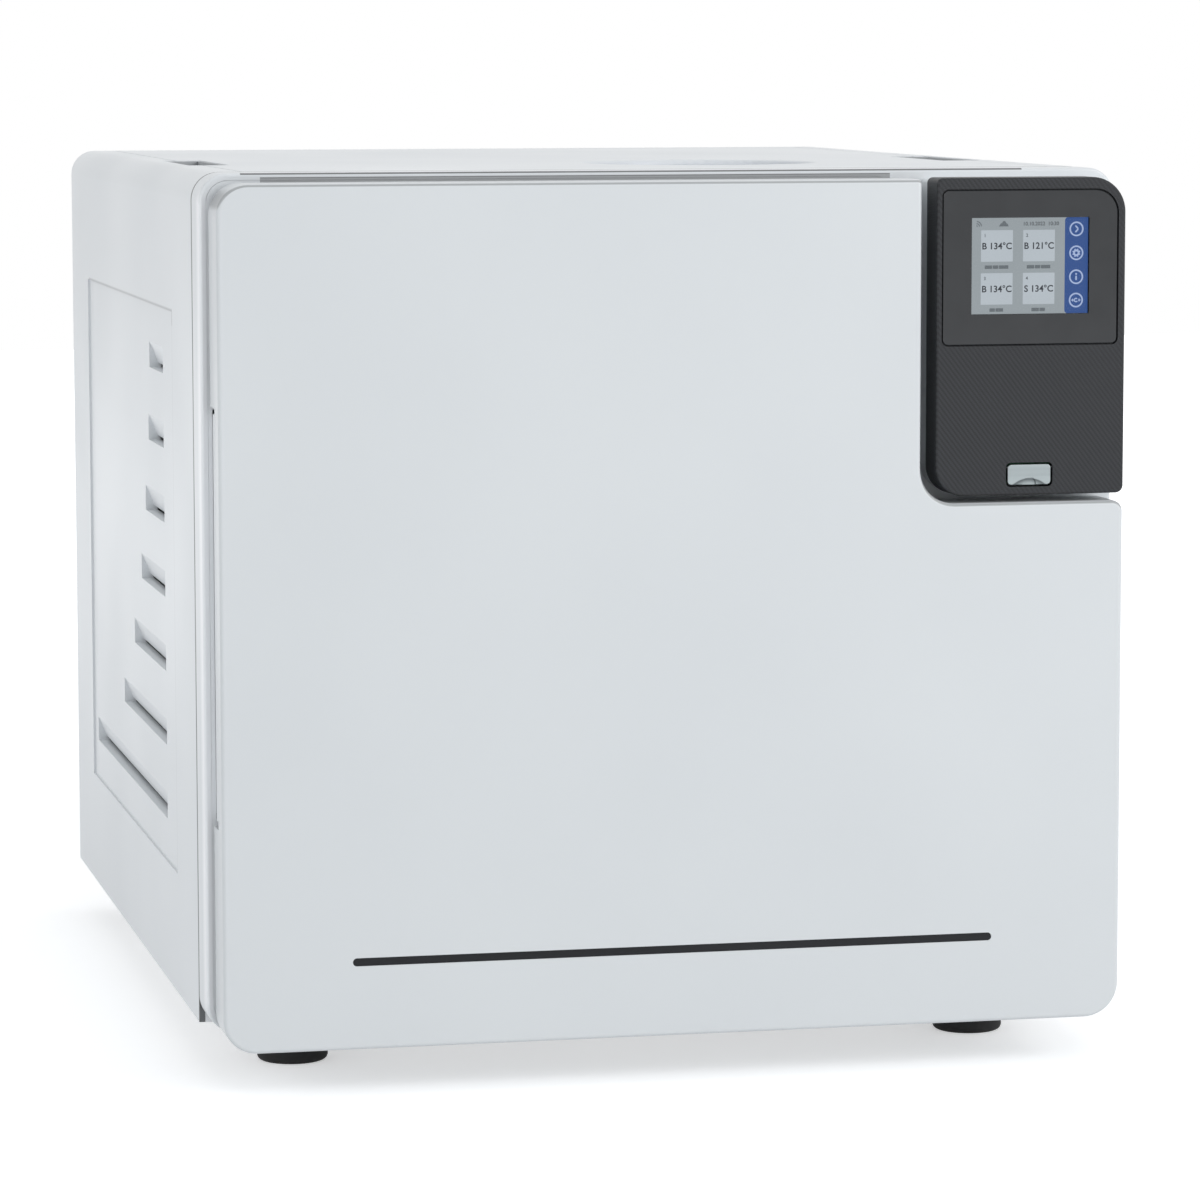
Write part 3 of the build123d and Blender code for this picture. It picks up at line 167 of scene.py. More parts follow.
def makeMouldGrain():
    # fine spark-eroded grain of moulded plastic, and a slow change of tone over the whole part
    tree, given, out = newGroup("mouldGrain", [("Pitch", "Float", 0.0006), ("Slow", "Float", 0.12)],
                                [("Height", "Float"), ("Tone", "Float")])
    fine = noise(tree, calc(tree, "DIVIDE", 1.0, given["Pitch"]), 2.0)
    slow = noise(tree, calc(tree, "DIVIDE", 1.0, given["Slow"]), 1.5)
    tree.links.new(fine, out["Height"])
    tree.links.new(span(tree, slow, *usualNoise, 0.0, 1.0), out["Tone"])
    return tree


brushedSet = {
    "broadScale": 0.13,                   # against the scratches' own scale of 1
    "streaks": (0.32, 0.68),              # noise values for no streak and for a full one
}


def makeBrushedLines(settings):
    # long scratches: noise pulled out along one axis by the vector given
    tree, given, out = newGroup("brushedLines", [("Stretch", "Vector", (30, 2600, 2600))],
                                [("Height", "Float"), ("Streak", "Float")])
    pulled = tree.nodes.new("ShaderNodeVectorMath")
    pulled.operation = "MULTIPLY"
    tree.links.new(ownPlace(tree), pulled.inputs[0])
    tree.links.new(given["Stretch"], pulled.inputs[1])
    tree.links.new(noise(tree, 1.0, 3.0, pulled.outputs[0], Roughness=0.6), out["Height"])
    broad = noise(tree, settings["broadScale"], 2.0, pulled.outputs[0])
    tree.links.new(span(tree, broad, *settings["streaks"], 0.0, 1.0), out["Streak"])
    return tree


edgeWearAndHighlightSet = {
    "samples": 4,
    "turned": (0.99, 0.86),               # cosine between the two normals, for none and for the full edge colour
    "patchScale": 160.0,
    "patches": (0.35, 0.6),
}


def makeEdgeWearAndHighlight(settings):
    # 1 along edges, where the rounded normal leaves the true one, broken up by noise: rubbed wear
    # together with a painted highlight
    tree, given, out = newGroup("edgeWearAndHighlight", [("Width", "Float", 0.0006)], [("WearAndHighlight", "Float")])
    rounded = put(tree, "Bevel", {"samples": settings["samples"]}, Radius=given["Width"])
    dot = tree.nodes.new("ShaderNodeVectorMath")
    dot.operation = "DOT_PRODUCT"
    tree.links.new(rounded.outputs[0], dot.inputs[0])
    tree.links.new(tree.nodes.new("ShaderNodeNewGeometry").outputs["Normal"], dot.inputs[1])
    wearAndHighlight = span(tree, dot.outputs["Value"], *settings["turned"], 0.0, 1.0)
    patchy = span(tree, noise(tree, settings["patchScale"], 3.0), *settings["patches"], 0.0, 1.0)
    tree.links.new(calc(tree, "MULTIPLY", wearAndHighlight, patchy), out["WearAndHighlight"])
    return tree


def makeTwillWeave():
    # 2/2 twill: cell (i, j) of the weave shows its upright yarn where (i + j) mod 4 is under 2.
    # Each yarn is a parabola across its width, 1 - (2 f - 1)^2, with f the place inside the cell.
    # Across runs over the front and round onto the left side, because it is x + y.
    tree, given, out = newGroup("twillWeave", [("Across", "Float", 0.00064), ("Up", "Float", 0.00082)],
                                [("Height", "Float"), ("Upright", "Float")])
    x, y, z = splitPlace(tree)
    across = calc(tree, "DIVIDE", calc(tree, "ADD", x, y), given["Across"])
    up = calc(tree, "DIVIDE", z, given["Up"])
    cellSum = calc(tree, "ADD", calc(tree, "FLOOR", across), calc(tree, "FLOOR", up))
    upright = calc(tree, "LESS_THAN", calc(tree, "FLOORED_MODULO", cellSum, 4.0), 2.0)
    humps = []
    for value in (across, up):
        centred = calc(tree, "MULTIPLY_ADD", calc(tree, "FRACT", value), 2.0, -1.0)
        humps.append(calc(tree, "SUBTRACT", 1.0, calc(tree, "MULTIPLY", centred, centred)))
    chosen = put(tree, "Mix", {"data_type": "FLOAT"})
    tree.links.new(upright, chosen.inputs[0])
    tree.links.new(humps[1], chosen.inputs[2])
    tree.links.new(humps[0], chosen.inputs[3])
    tree.links.new(chosen.outputs[0], out["Height"])
    tree.links.new(upright, out["Upright"])
    return tree


# floor, surroundings and lamps
stageSet = {
    "floorHalf": 6.0,
    "floorColour": (0.85, 0.86, 0.87, 1),
    "floorRoughness": 0.9,
    "floorGlow": (0.46, 1.0),             # strength under the object, and far from it
    "glowReach": (0.7, 2.4),              # metres from the origin between which it grows
    "skyColour": (0.95, 0.975, 1.0, 1),
    "skyStrength": 0.52,
    "lamps": [
        # name, place, aim, width, height, watts
        ("keyLamp", (-3.0, -1.6, 1.7), (0.0, 0.0, 0.25), 2.4, 2.2, 24),
        ("frontLamp", (2.0, -2.5, 1.5), (0.0, -0.2, 0.28), 1.8, 1.8, 46),
        ("topLamp", (0.0, 0.3, 2.9), (0.0, 0.0, 0.2), 2.6, 2.6, 11),
    ],
}


def plainRays(tree):
    # 1 for the rays that show the white surroundings: seen straight, in a mirror or through glass
    path = tree.nodes.new("ShaderNodeLightPath").outputs
    direct = calc(tree, "MAXIMUM", path["Is Camera Ray"], path["Is Transmission Ray"])
    return calc(tree, "MAXIMUM", direct, path["Is Glossy Ray"])


def makeSurroundings(settings):
    world = bpy.data.worlds.new("surroundings")
    bpy.context.scene.world = world
    world.use_nodes = True
    tree = world.node_tree
    tree.nodes.clear()
    lit = put(tree, "Background", Color=settings["skyColour"], Strength=settings["skyStrength"])
    white = put(tree, "Background", Color=(1, 1, 1, 1), Strength=1.0)
    mix = put(tree, "MixShader", Fac=plainRays(tree))
    tree.links.new(lit.outputs[0], mix.inputs[1])
    tree.links.new(white.outputs[0], mix.inputs[2])
    out = tree.nodes.new("ShaderNodeOutputWorld")
    tree.links.new(mix.outputs[0], out.inputs["Surface"])


def makeFloor(settings):
    half = settings["floorHalf"]
    mesh = bpy.data.meshes.new("floor")
    corners = [(-half, -half, 0), (half, -half, 0), (half, half, 0), (-half, half, 0)]
    mesh.from_pydata(corners, [], [(0, 1, 2, 3)])
    floor = bpy.data.objects.new("floor", mesh)
    bpy.context.scene.collection.objects.link(floor)
    paint, tree, shader = newMaterial("paleFloor")
    shader.inputs["Base Color"].default_value = settings["floorColour"]
    shader.inputs["Roughness"].default_value = settings["floorRoughness"]
    x, y, z = splitPlace(tree)
    away = hypotenuse(tree, x, y)
    glowShare = span(tree, away, *settings["glowReach"], *settings["floorGlow"], smooth=True)
    strength = calc(tree, "MULTIPLY", plainRays(tree), glowShare)
    glow = put(tree, "Emission", Color=(1, 1, 1, 1), Strength=strength)
    both = tree.nodes.new("ShaderNodeAddShader")
    tree.links.new(shader.outputs[0], both.inputs[0])
    tree.links.new(glow.outputs[0], both.inputs[1])
    tree.links.new(both.outputs[0], tree.nodes["Material Output"].inputs["Surface"])
    mesh.materials.append(paint)


def makeLamps(settings):
    for name, place, aim, width, height, watts in settings["lamps"]:
        light = bpy.data.lights.new(name, "AREA")
        light.shape = "RECTANGLE"
        light.size = width
        light.size_y = height
        light.energy = watts
        lamp = bpy.data.objects.new(name, light)
        away = Vector(place) - Vector(aim)
        turn = away.to_track_quat("Z", "Y").to_matrix().to_4x4()
        lamp.matrix_world = Matrix.Translation(place) @ turn
        lamp.visible_camera = False
        bpy.context.scene.collection.objects.link(lamp)


makeCamera(cameraSet)
makeSurroundings(stageSet)
makeFloor(stageSet)
makeLamps(stageSet)
bpy.context.scene.view_settings.view_transform = "Standard"
print("camera and stage ready")

mouldGrain = makeMouldGrain()
brushedLines = makeBrushedLines(brushedSet)
edgeWearAndHighlight = makeEdgeWearAndHighlight(edgeWearAndHighlightSet)
twillWeave = makeTwillWeave()


# the sheet metal's white coat, used for the panels and, with painted light and shade of their own, the
# bezel and sides
whiteCoat = ((0.74, 0.765, 0.785), (0.72, 0.745, 0.765), 0.36, 0.010 * mm, 0.7 * mm)
plastics = {
    # colour, second tone, roughness, grain depth, grain pitch
    "panel_white": whiteCoat,
    "bezel_white": whiteCoat,
    "side_white": whiteCoat,
    "door_white": ((0.69, 0.715, 0.73), (0.67, 0.695, 0.712), 0.32, 0.008 * mm, 0.7 * mm),
    "liner_grey": ((0.52, 0.54, 0.56), (0.49, 0.51, 0.53), 0.45, 0.014 * mm, 0.9 * mm),
    "pocket_grey": ((0.44, 0.455, 0.47), (0.41, 0.425, 0.44), 0.5, 0.014 * mm, 0.9 * mm),
    "black_plastic": ((0.022, 0.022, 0.024), (0.03, 0.03, 0.033), 0.48, 0.02 * mm, 0.6 * mm),
    "cap_blue": ((0.03, 0.10, 0.34), (0.026, 0.085, 0.30), 0.38, 0.015 * mm, 0.7 * mm),
    "filter_white": ((0.74, 0.76, 0.77), (0.70, 0.72, 0.74), 0.42, 0.015 * mm, 0.7 * mm),
    "tank_plastic": ((0.70, 0.74, 0.76), (0.64, 0.69, 0.72), 0.40, 0.02 * mm, 1.0 * mm),
    "rubber": ((0.026, 0.026, 0.027), (0.04, 0.039, 0.038), 0.78, 0.03 * mm, 0.5 * mm),
    "silicone": ((0.50, 0.115, 0.07), (0.44, 0.095, 0.06), 0.55, 0.01 * mm, 0.6 * mm),
    "light_bar": ((0.012, 0.013, 0.015), (0.018, 0.019, 0.022), 0.22, 0.004 * mm, 0.8 * mm),
    "insulation": ((0.60, 0.60, 0.58), (0.50, 0.50, 0.48), 0.9, 0.35 * mm, 1.6 * mm),
    "heater": ((0.36, 0.16, 0.07), (0.30, 0.13, 0.06), 0.62, 0.06 * mm, 1.2 * mm),
}


roundShadeSet = {
    "darker": {"door_white": 0.45},       # painted shade: how much darker the rounding along a top edge is painted
    "fromFront": (0.12, 0.34),            # upward part of the normal, where the rounding begins
    "toTop": (0.62, 0.88),                # and where it ends
}
seamShadeSet = {
    "finishes": ("panel_white", "bezel_white", "side_white"),
    "middle": -238.4 * mm,
    "half": 1.3 * mm,
    "soft": 0.7 * mm,
    "paintedShade": (0.13, 0.135, 0.14, 1),
}
paintedLightAndShade = {
    # painted light and shade: left, right, bottom, top, front, back and soft edge in millimetres, and the
    # colour between them
    "bezel_white": [
        # painted light on the rim beside the door's left edge, against the door's own shadow
        (-243, -235.5, 40, 456, -290, -258, 5, (0.97, 0.98, 1.0, 1)),
        # painted shade in the joint under the lid's front edge, along the inner edge of the rim, and on
        # the ledge over the door
        (-219, 190, 466.2, 467.2, -268, -265.2, 0.1, (0.15, 0.155, 0.16, 1)),
        (-209, 119, 464.3, 464.9, -268, -262, 0.1, (0.20, 0.205, 0.21, 1)),
        (-209, 119, 455, 464.3, -268, -262, 0.1, (0.38, 0.39, 0.40, 1)),
    ],
    "side_white": [
        # painted shade along the top edge of the sunken field, its front edge, and the corner between
        # them
        (-250, 250, 391.9, 393.5, -158, 214, 0.5, (0.44, 0.455, 0.47, 1)),
        (-250, 250, 96, 392, -159, -157.6, 0.5, (0.62, 0.64, 0.655, 1)),
        (-250, 250, 385, 393.5, -160, -157.5, 0.6, (0.46, 0.475, 0.49, 1)),
    ],
}
plasticSet = {
    "slow": 0.14,                         # metres over which the tone drifts
    "smoother": 0.03,                     # change of roughness with the tone
    "rougher": 0.04,
    "gloss": 0.5,                         # specular level, and the finishes where it is lower
    "dull": {"light_bar": 0.2, "black_plastic": 0.4, "rubber": 0.3},
}


def between(tree, value, low, high, soft):
    # 1 from low to high, with a soft step of 2 soft at both ends
    up = span(tree, value, low - soft, low + soft, 0.0, 1.0)
    down = span(tree, value, high - soft, high + soft, 1.0, 0.0)
    return calc(tree, "MULTIPLY", up, down)


def insideBox(tree, left, right, bottom, top, front, back, soft):
    # product of one soft window along each axis, all in millimetres
    x, y, z = splitPlace(tree)
    share = between(tree, x, left * mm, right * mm, soft * mm)
    share = calc(tree, "MULTIPLY", share, between(tree, z, bottom * mm, top * mm, soft * mm))
    return calc(tree, "MULTIPLY", share, between(tree, y, front * mm, back * mm, soft * mm))


def onShadedTopRound(tree, settings):
    # 1 on the rounding between a front and a top, which its normals pick out; painted shade goes there
    facing = tree.nodes.new("ShaderNodeNewGeometry").outputs["Normal"]
    upward = put(tree, "SeparateXYZ", Vector=facing).outputs[2]
    return calc(tree, "MULTIPLY", span(tree, upward, *settings["fromFront"], 0.0, 1.0, True),
                span(tree, upward, *settings["toTop"], 1.0, 0.0, True))


def inSeamShade(tree, settings):
    # 1 in the plane across the housing where the bezel meets the panels behind it, for the painted shade
    # of the gap there
    off = calc(tree, "ABSOLUTE", calc(tree, "SUBTRACT", splitPlace(tree)[1], settings["middle"]))
    return span(tree, off, settings["half"], settings["half"] + settings["soft"], 1.0, 0.0, True)


def plastic(name, colour, second, roughness, depth, pitch):
    settings = plasticSet
    paint, tree, shader = newMaterial(name)
    grain = useGroup(tree, mouldGrain, Pitch=pitch, Slow=settings["slow"])
    shade = blendColour(tree, grain["Tone"], (*colour, 1), (*second, 1))
    # painted shade on top roundings, painted light and shade in boxes, and painted shade in the seam
    if name in roundShadeSet["darker"]:
        paintedShade = tuple((1 - roundShadeSet["darker"][name]) * part for part in colour)
        shade = blendColour(tree, onShadedTopRound(tree, roundShadeSet), shade, (*paintedShade, 1))
    for *limits, paintedTone in paintedLightAndShade.get(name, []):
        shade = blendColour(tree, insideBox(tree, *limits), shade, paintedTone)
    if name in seamShadeSet["finishes"]:
        shade = blendColour(tree, inSeamShade(tree, seamShadeSet), shade, seamShadeSet["paintedShade"])
    tree.links.new(shade, shader.inputs["Base Color"])
    rough = span(tree, grain["Tone"], 0.0, 1.0,
                 roughness - settings["smoother"], roughness + settings["rougher"])
    tree.links.new(rough, shader.inputs["Roughness"])
    shader.inputs["Specular IOR Level"].default_value = settings["dull"].get(name, settings["gloss"])
    bump(tree, shader, grain["Height"], depth)
    return paint


metals = {
    # colour, roughness, stretch of the scratches, scratch depth, edge colour of rubbed wear and painted
    # highlight
    "silver": ((0.30, 0.335, 0.345), 0.36, (60, 2600, 2600), 0.004 * mm, (0.36, 0.395, 0.405)),
    "zinc_sheet": ((0.56, 0.57, 0.58), 0.42, (90, 90, 900), 0.01 * mm, (0.70, 0.71, 0.72)),
    "cast_frame": ((0.40, 0.41, 0.42), 0.52, (700, 700, 700), 0.05 * mm, (0.60, 0.61, 0.62)),
    "bright_steel": ((0.66, 0.66, 0.66), 0.24, (1200, 1200, 60), 0.006 * mm, (0.80, 0.80, 0.80)),
    "stainless": ((0.60, 0.595, 0.585), 0.30, (40, 2200, 2200), 0.008 * mm, (0.76, 0.755, 0.745)),
    "tray_metal": ((0.68, 0.69, 0.70), 0.30, (2000, 50, 2000), 0.006 * mm, (0.80, 0.81, 0.82)),
    "brass": ((0.72, 0.53, 0.24), 0.30, (900, 900, 900), 0.008 * mm, (0.86, 0.68, 0.36)),
    "copper": ((0.74, 0.36, 0.22), 0.32, (900, 900, 900), 0.008 * mm, (0.88, 0.52, 0.36)),
    "condenser_metal": ((0.66, 0.67, 0.68), 0.38, (900, 900, 90), 0.01 * mm, (0.78, 0.79, 0.80)),
    "pump_metal": ((0.30, 0.31, 0.33), 0.46, (700, 700, 700), 0.03 * mm, (0.52, 0.53, 0.55)),
    "port_steel": ((0.60, 0.60, 0.60), 0.28, (800, 800, 800), 0.005 * mm, (0.75, 0.75, 0.75)),
}


metalSet = {
    "edgeWidth": 0.5 * mm,
    "darker": 0.86,                       # tone between the streaks
    "rougher": 0.07,                      # change of roughness with the streaks
    "smoother": 0.04,
}


def metal(name, colour, roughness, stretch, depth, wornAndHighlightColour):
    settings = metalSet
    paint, tree, shader = newMaterial(name)
    lines = useGroup(tree, brushedLines, Stretch=stretch)
    wearAndHighlight = useGroup(tree, edgeWearAndHighlight, Width=settings["edgeWidth"])["WearAndHighlight"]
    darker = tuple(settings["darker"] * part for part in colour)
    body = blendColour(tree, lines["Streak"], (*darker, 1), (*colour, 1))
    tree.links.new(blendColour(tree, wearAndHighlight, body, (*wornAndHighlightColour, 1)), shader.inputs["Base Color"])
    shader.inputs["Metallic"].default_value = 1.0
    rough = span(tree, lines["Streak"], 0.0, 1.0,
                 roughness + settings["rougher"], roughness - settings["smoother"])
    tree.links.new(rough, shader.inputs["Roughness"])
    bump(tree, shader, lines["Height"], depth)
    return paint


flapSet = {
    "middle": 185.05 * mm,
    "half": 11.57 * mm,                   # past this lie the hinge pins, in the shade
    "pinShadeColour": (0.03, 0.03, 0.032, 1),
    "hollowHeight": 294.9 * mm,           # centre of the circle that bounds the finger hollow
    "hollowRadius": 13.5 * mm,
    "hollowEdge": (-0.15 * mm, 0.25 * mm),
    "hollowFade": (0.6 * mm, 2.8 * mm),   # distances inside the circle between which the shade fades
    "hollowShare": (0.9, 0.1),
    "hollowShadeColour": (0.07, 0.08, 0.085, 1),
}


def shadeFlap(paint, settings):
    # painted shade on the silver flap's hinge pins and in its finger hollow, a circle that meets the
    # flap's lower edge
    tree = paint.node_tree
    colourSocket = tree.nodes["Principled BSDF"].inputs["Base Color"]
    body = colourSocket.links[0].from_socket
    x, y, z = splitPlace(tree)
    outward = calc(tree, "ABSOLUTE", calc(tree, "SUBTRACT", x, settings["middle"]))
    onPins = calc(tree, "GREATER_THAN", outward, settings["half"])
    pinned = blendColour(tree, onPins, body, settings["pinShadeColour"])
    away = hypotenuse(tree, outward, calc(tree, "SUBTRACT", z, settings["hollowHeight"]))
    under = calc(tree, "SUBTRACT", settings["hollowRadius"], away)
    paintedShade = calc(tree, "MULTIPLY", span(tree, under, *settings["hollowEdge"], 0.0, 1.0),
                span(tree, under, *settings["hollowFade"], *settings["hollowShare"]))
    tree.links.new(blendColour(tree, paintedShade, pinned, settings["hollowShadeColour"]), colourSocket)


carbonSet = {
    "across": 0.64 * mm,
    "up": 0.82 * mm,
    "uprightYarn": (0.025, 0.027, 0.031, 1),
    "levelYarn": (0.0145, 0.0155, 0.018, 1),
    "depth": 0.08 * mm,
    "roughness": (0.54, 0.39),            # between the yarns, and on their crests
    "gloss": 0.3,
}


def carbonPanel(settings):
    paint, tree, shader = newMaterial("carbonPanel")
    weave = useGroup(tree, twillWeave, Across=settings["across"], Up=settings["up"])
    tree.links.new(blendColour(tree, weave["Upright"], settings["levelYarn"], settings["uprightYarn"]),
                   shader.inputs["Base Color"])
    rough = span(tree, weave["Height"], 0.0, 1.0, *settings["roughness"])
    tree.links.new(rough, shader.inputs["Roughness"])
    shader.inputs["Specular IOR Level"].default_value = settings["gloss"]
    bump(tree, shader, weave["Height"], settings["depth"])
    return paint


glassSet = {
    "window": (153.4, 216.3, 393.1, 442.5),      # left, right, bottom, top, in millimetres
    "soft": 0.15 * mm,
    "rim": (0.022, 0.024, 0.027, 1),
    "windowAlpha": 0.06,
    "smearScale": 55.0,
    "roughness": (0.09, 0.17),
    "gloss": 0.5,
}


def darkGlass(settings):
    # black printed border; inside the window the glass is nearly clear, by its alpha
    paint, tree, shader = newMaterial("darkGlass")
    x, y, z = splitPlace(tree)
    left, right, bottom, top = (value * mm for value in settings["window"])
    inside = calc(tree, "MULTIPLY", between(tree, x, left, right, settings["soft"]),
                  between(tree, z, bottom, top, settings["soft"]))
    shader.inputs["Base Color"].default_value = settings["rim"]
    smear = noise(tree, settings["smearScale"], 3.0)
    tree.links.new(span(tree, smear, *usualNoise, *settings["roughness"]), shader.inputs["Roughness"])
    tree.links.new(span(tree, inside, 0.0, 1.0, 1.0, settings["windowAlpha"]), shader.inputs["Alpha"])
    shader.inputs["Specular IOR Level"].default_value = settings["gloss"]
    return paint


boardSet = {
    "patchScale": 220.0,
    "patchEdge": (0.30, 0.34),
    "lacquer": (0.012, 0.105, 0.045, 1),
    "overCopper": (0.02, 0.17, 0.07, 1),
    "roughness": 0.34,
    "depth": 0.03 * mm,
}


def circuitBoard(settings):
    # green lacquer with square copper patches under it
    paint, tree, shader = newMaterial("circuitBoard")
    patches = put(tree, "TexVoronoi", {"distance": "CHEBYCHEV"}, Vector=ownPlace(tree),
                  Scale=settings["patchScale"])
    copperShare = span(tree, patches.outputs["Distance"], *settings["patchEdge"], 0.0, 1.0)
    tree.links.new(blendColour(tree, copperShare, settings["lacquer"], settings["overCopper"]),
                   shader.inputs["Base Color"])
    shader.inputs["Roughness"].default_value = settings["roughness"]
    bump(tree, shader, copperShare, settings["depth"])
    return paint


moduleSet = {
    "fleckScale": 900.0,
    "tones": ((0.02, 0.021, 0.024, 1), (0.03, 0.031, 0.035, 1)),
    "roughness": 0.4,
}


def displayBody(settings):
    # black housing of the display behind the glass
    paint, tree, shader = newMaterial("displayBody")
    fleck = noise(tree, settings["fleckScale"], 1.0)
    tree.links.new(blendColour(tree, fleck, *settings["tones"]), shader.inputs["Base Color"])
    shader.inputs["Roughness"].default_value = settings["roughness"]
    return paint


finishes = {name: plastic(name, *values) for name, values in plastics.items()}
finishes.update({name: metal(name, *values) for name, values in metals.items()})
shadeFlap(finishes["silver"], flapSet)
finishes["carbon_panel"] = carbonPanel(carbonSet)
finishes["dark_glass"] = darkGlass(glassSet)
finishes["circuit_board"] = circuitBoard(boardSet)
finishes["display"] = displayBody(moduleSet)

# nodes that look different from the rest of their slot; the bezel and sides through their painted light
# and shade
ownFinish = {"left_grip_pocket": "pocket_grey", "right_grip_pocket": "pocket_grey",
             "hinge_arm": "panel_white", "front_bezel": "bezel_white",
             "left_side_panel": "side_white", "right_side_panel": "side_white"}
for nodeName, node in nodes.items():
    slots = [material.name.split(".")[0] for material in node.data.materials]
    node.data.materials.clear()
    for slotName in slots:
        node.data.materials.append(finishes[ownFinish.get(nodeName, slotName)])
print("finishes ready:", len(finishes))


# flat plates that lie across the front, each a closed slab
cornerSteps = 9


def roundedBox(left, right, bottom, top, radii):
    # corners are quarter circles: centre + radius (cos a, sin a), anticlockwise from the lower left
    angles = np.linspace(0, pi / 2, cornerSteps)
    corners = []
    centres = [(left, bottom, 1, 1), (right, bottom, -1, 1), (right, top, -1, -1), (left, top, 1, -1)]
    for number, ((x, z, inX, inZ), radius) in enumerate(zip(centres, radii)):
        turn = angles + pi + number * pi / 2
        corners.append(np.column_stack((x + inX * radius + radius * np.cos(turn),
                                        z + inZ * radius + radius * np.sin(turn))))
    return np.concatenate(corners)


def arcBand(x, z, inner, outer, start, end, steps=24):
    # outer arc one way and inner arc back; angles in degrees from the right, anticlockwise
    angles = np.radians(np.linspace(start, end, steps))
    ring = np.column_stack((np.cos(angles), np.sin(angles)))
    return np.concatenate((ring * outer, ring[::-1] * inner)) + (x, z)


def wholeRing(x, z, inner, outer):
    return [arcBand(x, z, inner, outer, 0, 180), arcBand(x, z, inner, outer, 180, 360)]


def stroke(startPoint, endPoint, width):
    # a bar of the given width from one point to the other
    first, last = np.array(startPoint, float), np.array(endPoint, float)
    along = (last - first) / np.linalg.norm(last - first)
    side = np.array((along[1], -along[0])) * width / 2
    return np.array((first + side, last + side, last - side, first - side))


def slabMesh(name, outlines, front, thick):
    # each outline (x, z) is repeated at the front and at front + thick, and the two are joined by walls
    places, faces, base = [], [], 0
    for outline in outlines:
        count = len(outline)
        ring = np.arange(count)
        following = np.roll(ring, -1)
        for y in (front, front + thick):
            places.append(np.column_stack((outline[:, 0], np.full(count, y), outline[:, 1])))
        faces.append((base + ring).tolist())
        faces.append((base + count + ring[::-1]).tolist())
        walls = np.column_stack((ring, ring + count, following + count, following))
        faces.extend((base + walls).tolist())
        base += 2 * count
    mesh = bpy.data.meshes.new(name)
    mesh.from_pydata((np.concatenate(places) * mm).tolist(), [], faces)
    return mesh


letterSet = {
    "emToCapital": 1.38,                  # the font's size over its capitals' height
    "bolder": 0.028,                      # outlines moved outwards, over the capitals' height
    "curveSteps": 4,
    "mergeWithin": 1e-7,
}


def letterMesh(name, words, x, z, height, front, thick):
    # filled text, made a mesh first and then turned upright: flat (x, y, z) goes to (x, -z, y)
    settings = letterSet
    text = bpy.data.curves.new(name, "FONT")
    text.body = words
    text.size = height * mm * settings["emToCapital"]
    text.offset = height * mm * settings["bolder"]
    text.align_x = "CENTER"
    text.extrude = thick * mm / 2
    text.resolution_u = settings["curveSteps"]
    holder = bpy.data.objects.new(name, text)
    bpy.context.scene.collection.objects.link(holder)
    mesh = bpy.data.meshes.new_from_object(holder.evaluated_get(bpy.context.evaluated_depsgraph_get()))
    bpy.data.objects.remove(holder)
    flat = np.empty(len(mesh.vertices) * 3)
    mesh.vertices.foreach_get("co", flat)
    flat = flat.reshape(-1, 3)
    middle = front + thick / 2
    upright = np.column_stack((flat[:, 0] + x * mm, middle * mm - flat[:, 2], flat[:, 1] + z * mm))
    mesh.vertices.foreach_set("co", upright.ravel())
    return mesh


def lettersMesh(name, lines, front, thick):
    # lines are (text, middle x, baseline z, height), all joined in one mesh
    together = bmesh.new()
    for words, x, z, height in lines:
        mesh = letterMesh(name, words, x, z, height, front, thick)
        together.from_mesh(mesh)
        bpy.data.meshes.remove(mesh)
    bmesh.ops.remove_doubles(together, verts=together.verts, dist=letterSet["mergeWithin"])
    bmesh.ops.recalc_face_normals(together, faces=together.faces)
    mesh = bpy.data.meshes.new(name)
    together.to_mesh(mesh)
    together.free()
    return mesh


def addPiece(name, mesh, paint, body):
    piece = bpy.data.objects.new(name, mesh)
    bpy.context.scene.collection.objects.link(piece)
    mesh.materials.append(paint)
    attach(piece, body)


# the picture on the display: it lies behind the clear window, bonded to the glass
displaySet = {
    "back": -298,                            # front face of the display's own housing
    "front": -298.03,                        # the picture's ground; tiles and signs lie on it
    "layer": 0.02,
    "ground": (153.4, 216.3, 393.1, 442.5),  # left, right, bottom, top
    "sharp": 0.01,                           # radius of a corner that looks square
    "menuLeft": 203.8,
    "menuRound": 1.7,
    "tileSize": (17.0, 16.1),
    "tileLefts": (158.9, 181.4),
    "tileBottoms": (420.0, 398.0),
    "tileRound": 0.3,
    "cycles": ("B 134\u00b0C", "B 121\u00b0C", "B 134\u00b0C", "S 134\u00b0C"),
    "cycleRise": 6.4,                        # from a tile's lower edge to its text
    "cycleHeight": 3.4,
    "numberPlace": (2.1, 12.6),              # from a tile's lower left corner
    "numberHeight": 1.7,
    "dateText": ("10.10.2022  10:30", 190.9, 438.4, 1.95),
}
captionSet = {
    "words": ((4, 3, 5), (4, 3, 5), (3, 4), (4, 3)),     # bars in place of words: widths in units
    "unit": 1.08,
    "gap": 0.3,
    "drop": 3.7,                             # from a tile's lower edge down to the caption
    "high": 1.8,
    "round": 0.2,
}
headerSet = {
    "signalPlace": (2.9, -4.6),              # from the picture's upper left corner
    "signalRadii": (0.3, 1.4, 2.5),
    "signalWidth": 0.55,
    "signalAngles": (5, 85),
    "cloud": ((168.4, 438.0), (173.6, 438.0), (173.2, 439.1), (172.4, 439.6), (171.7, 440.7),
              (170.8, 440.9), (170.1, 439.9), (169.1, 439.3)),
}
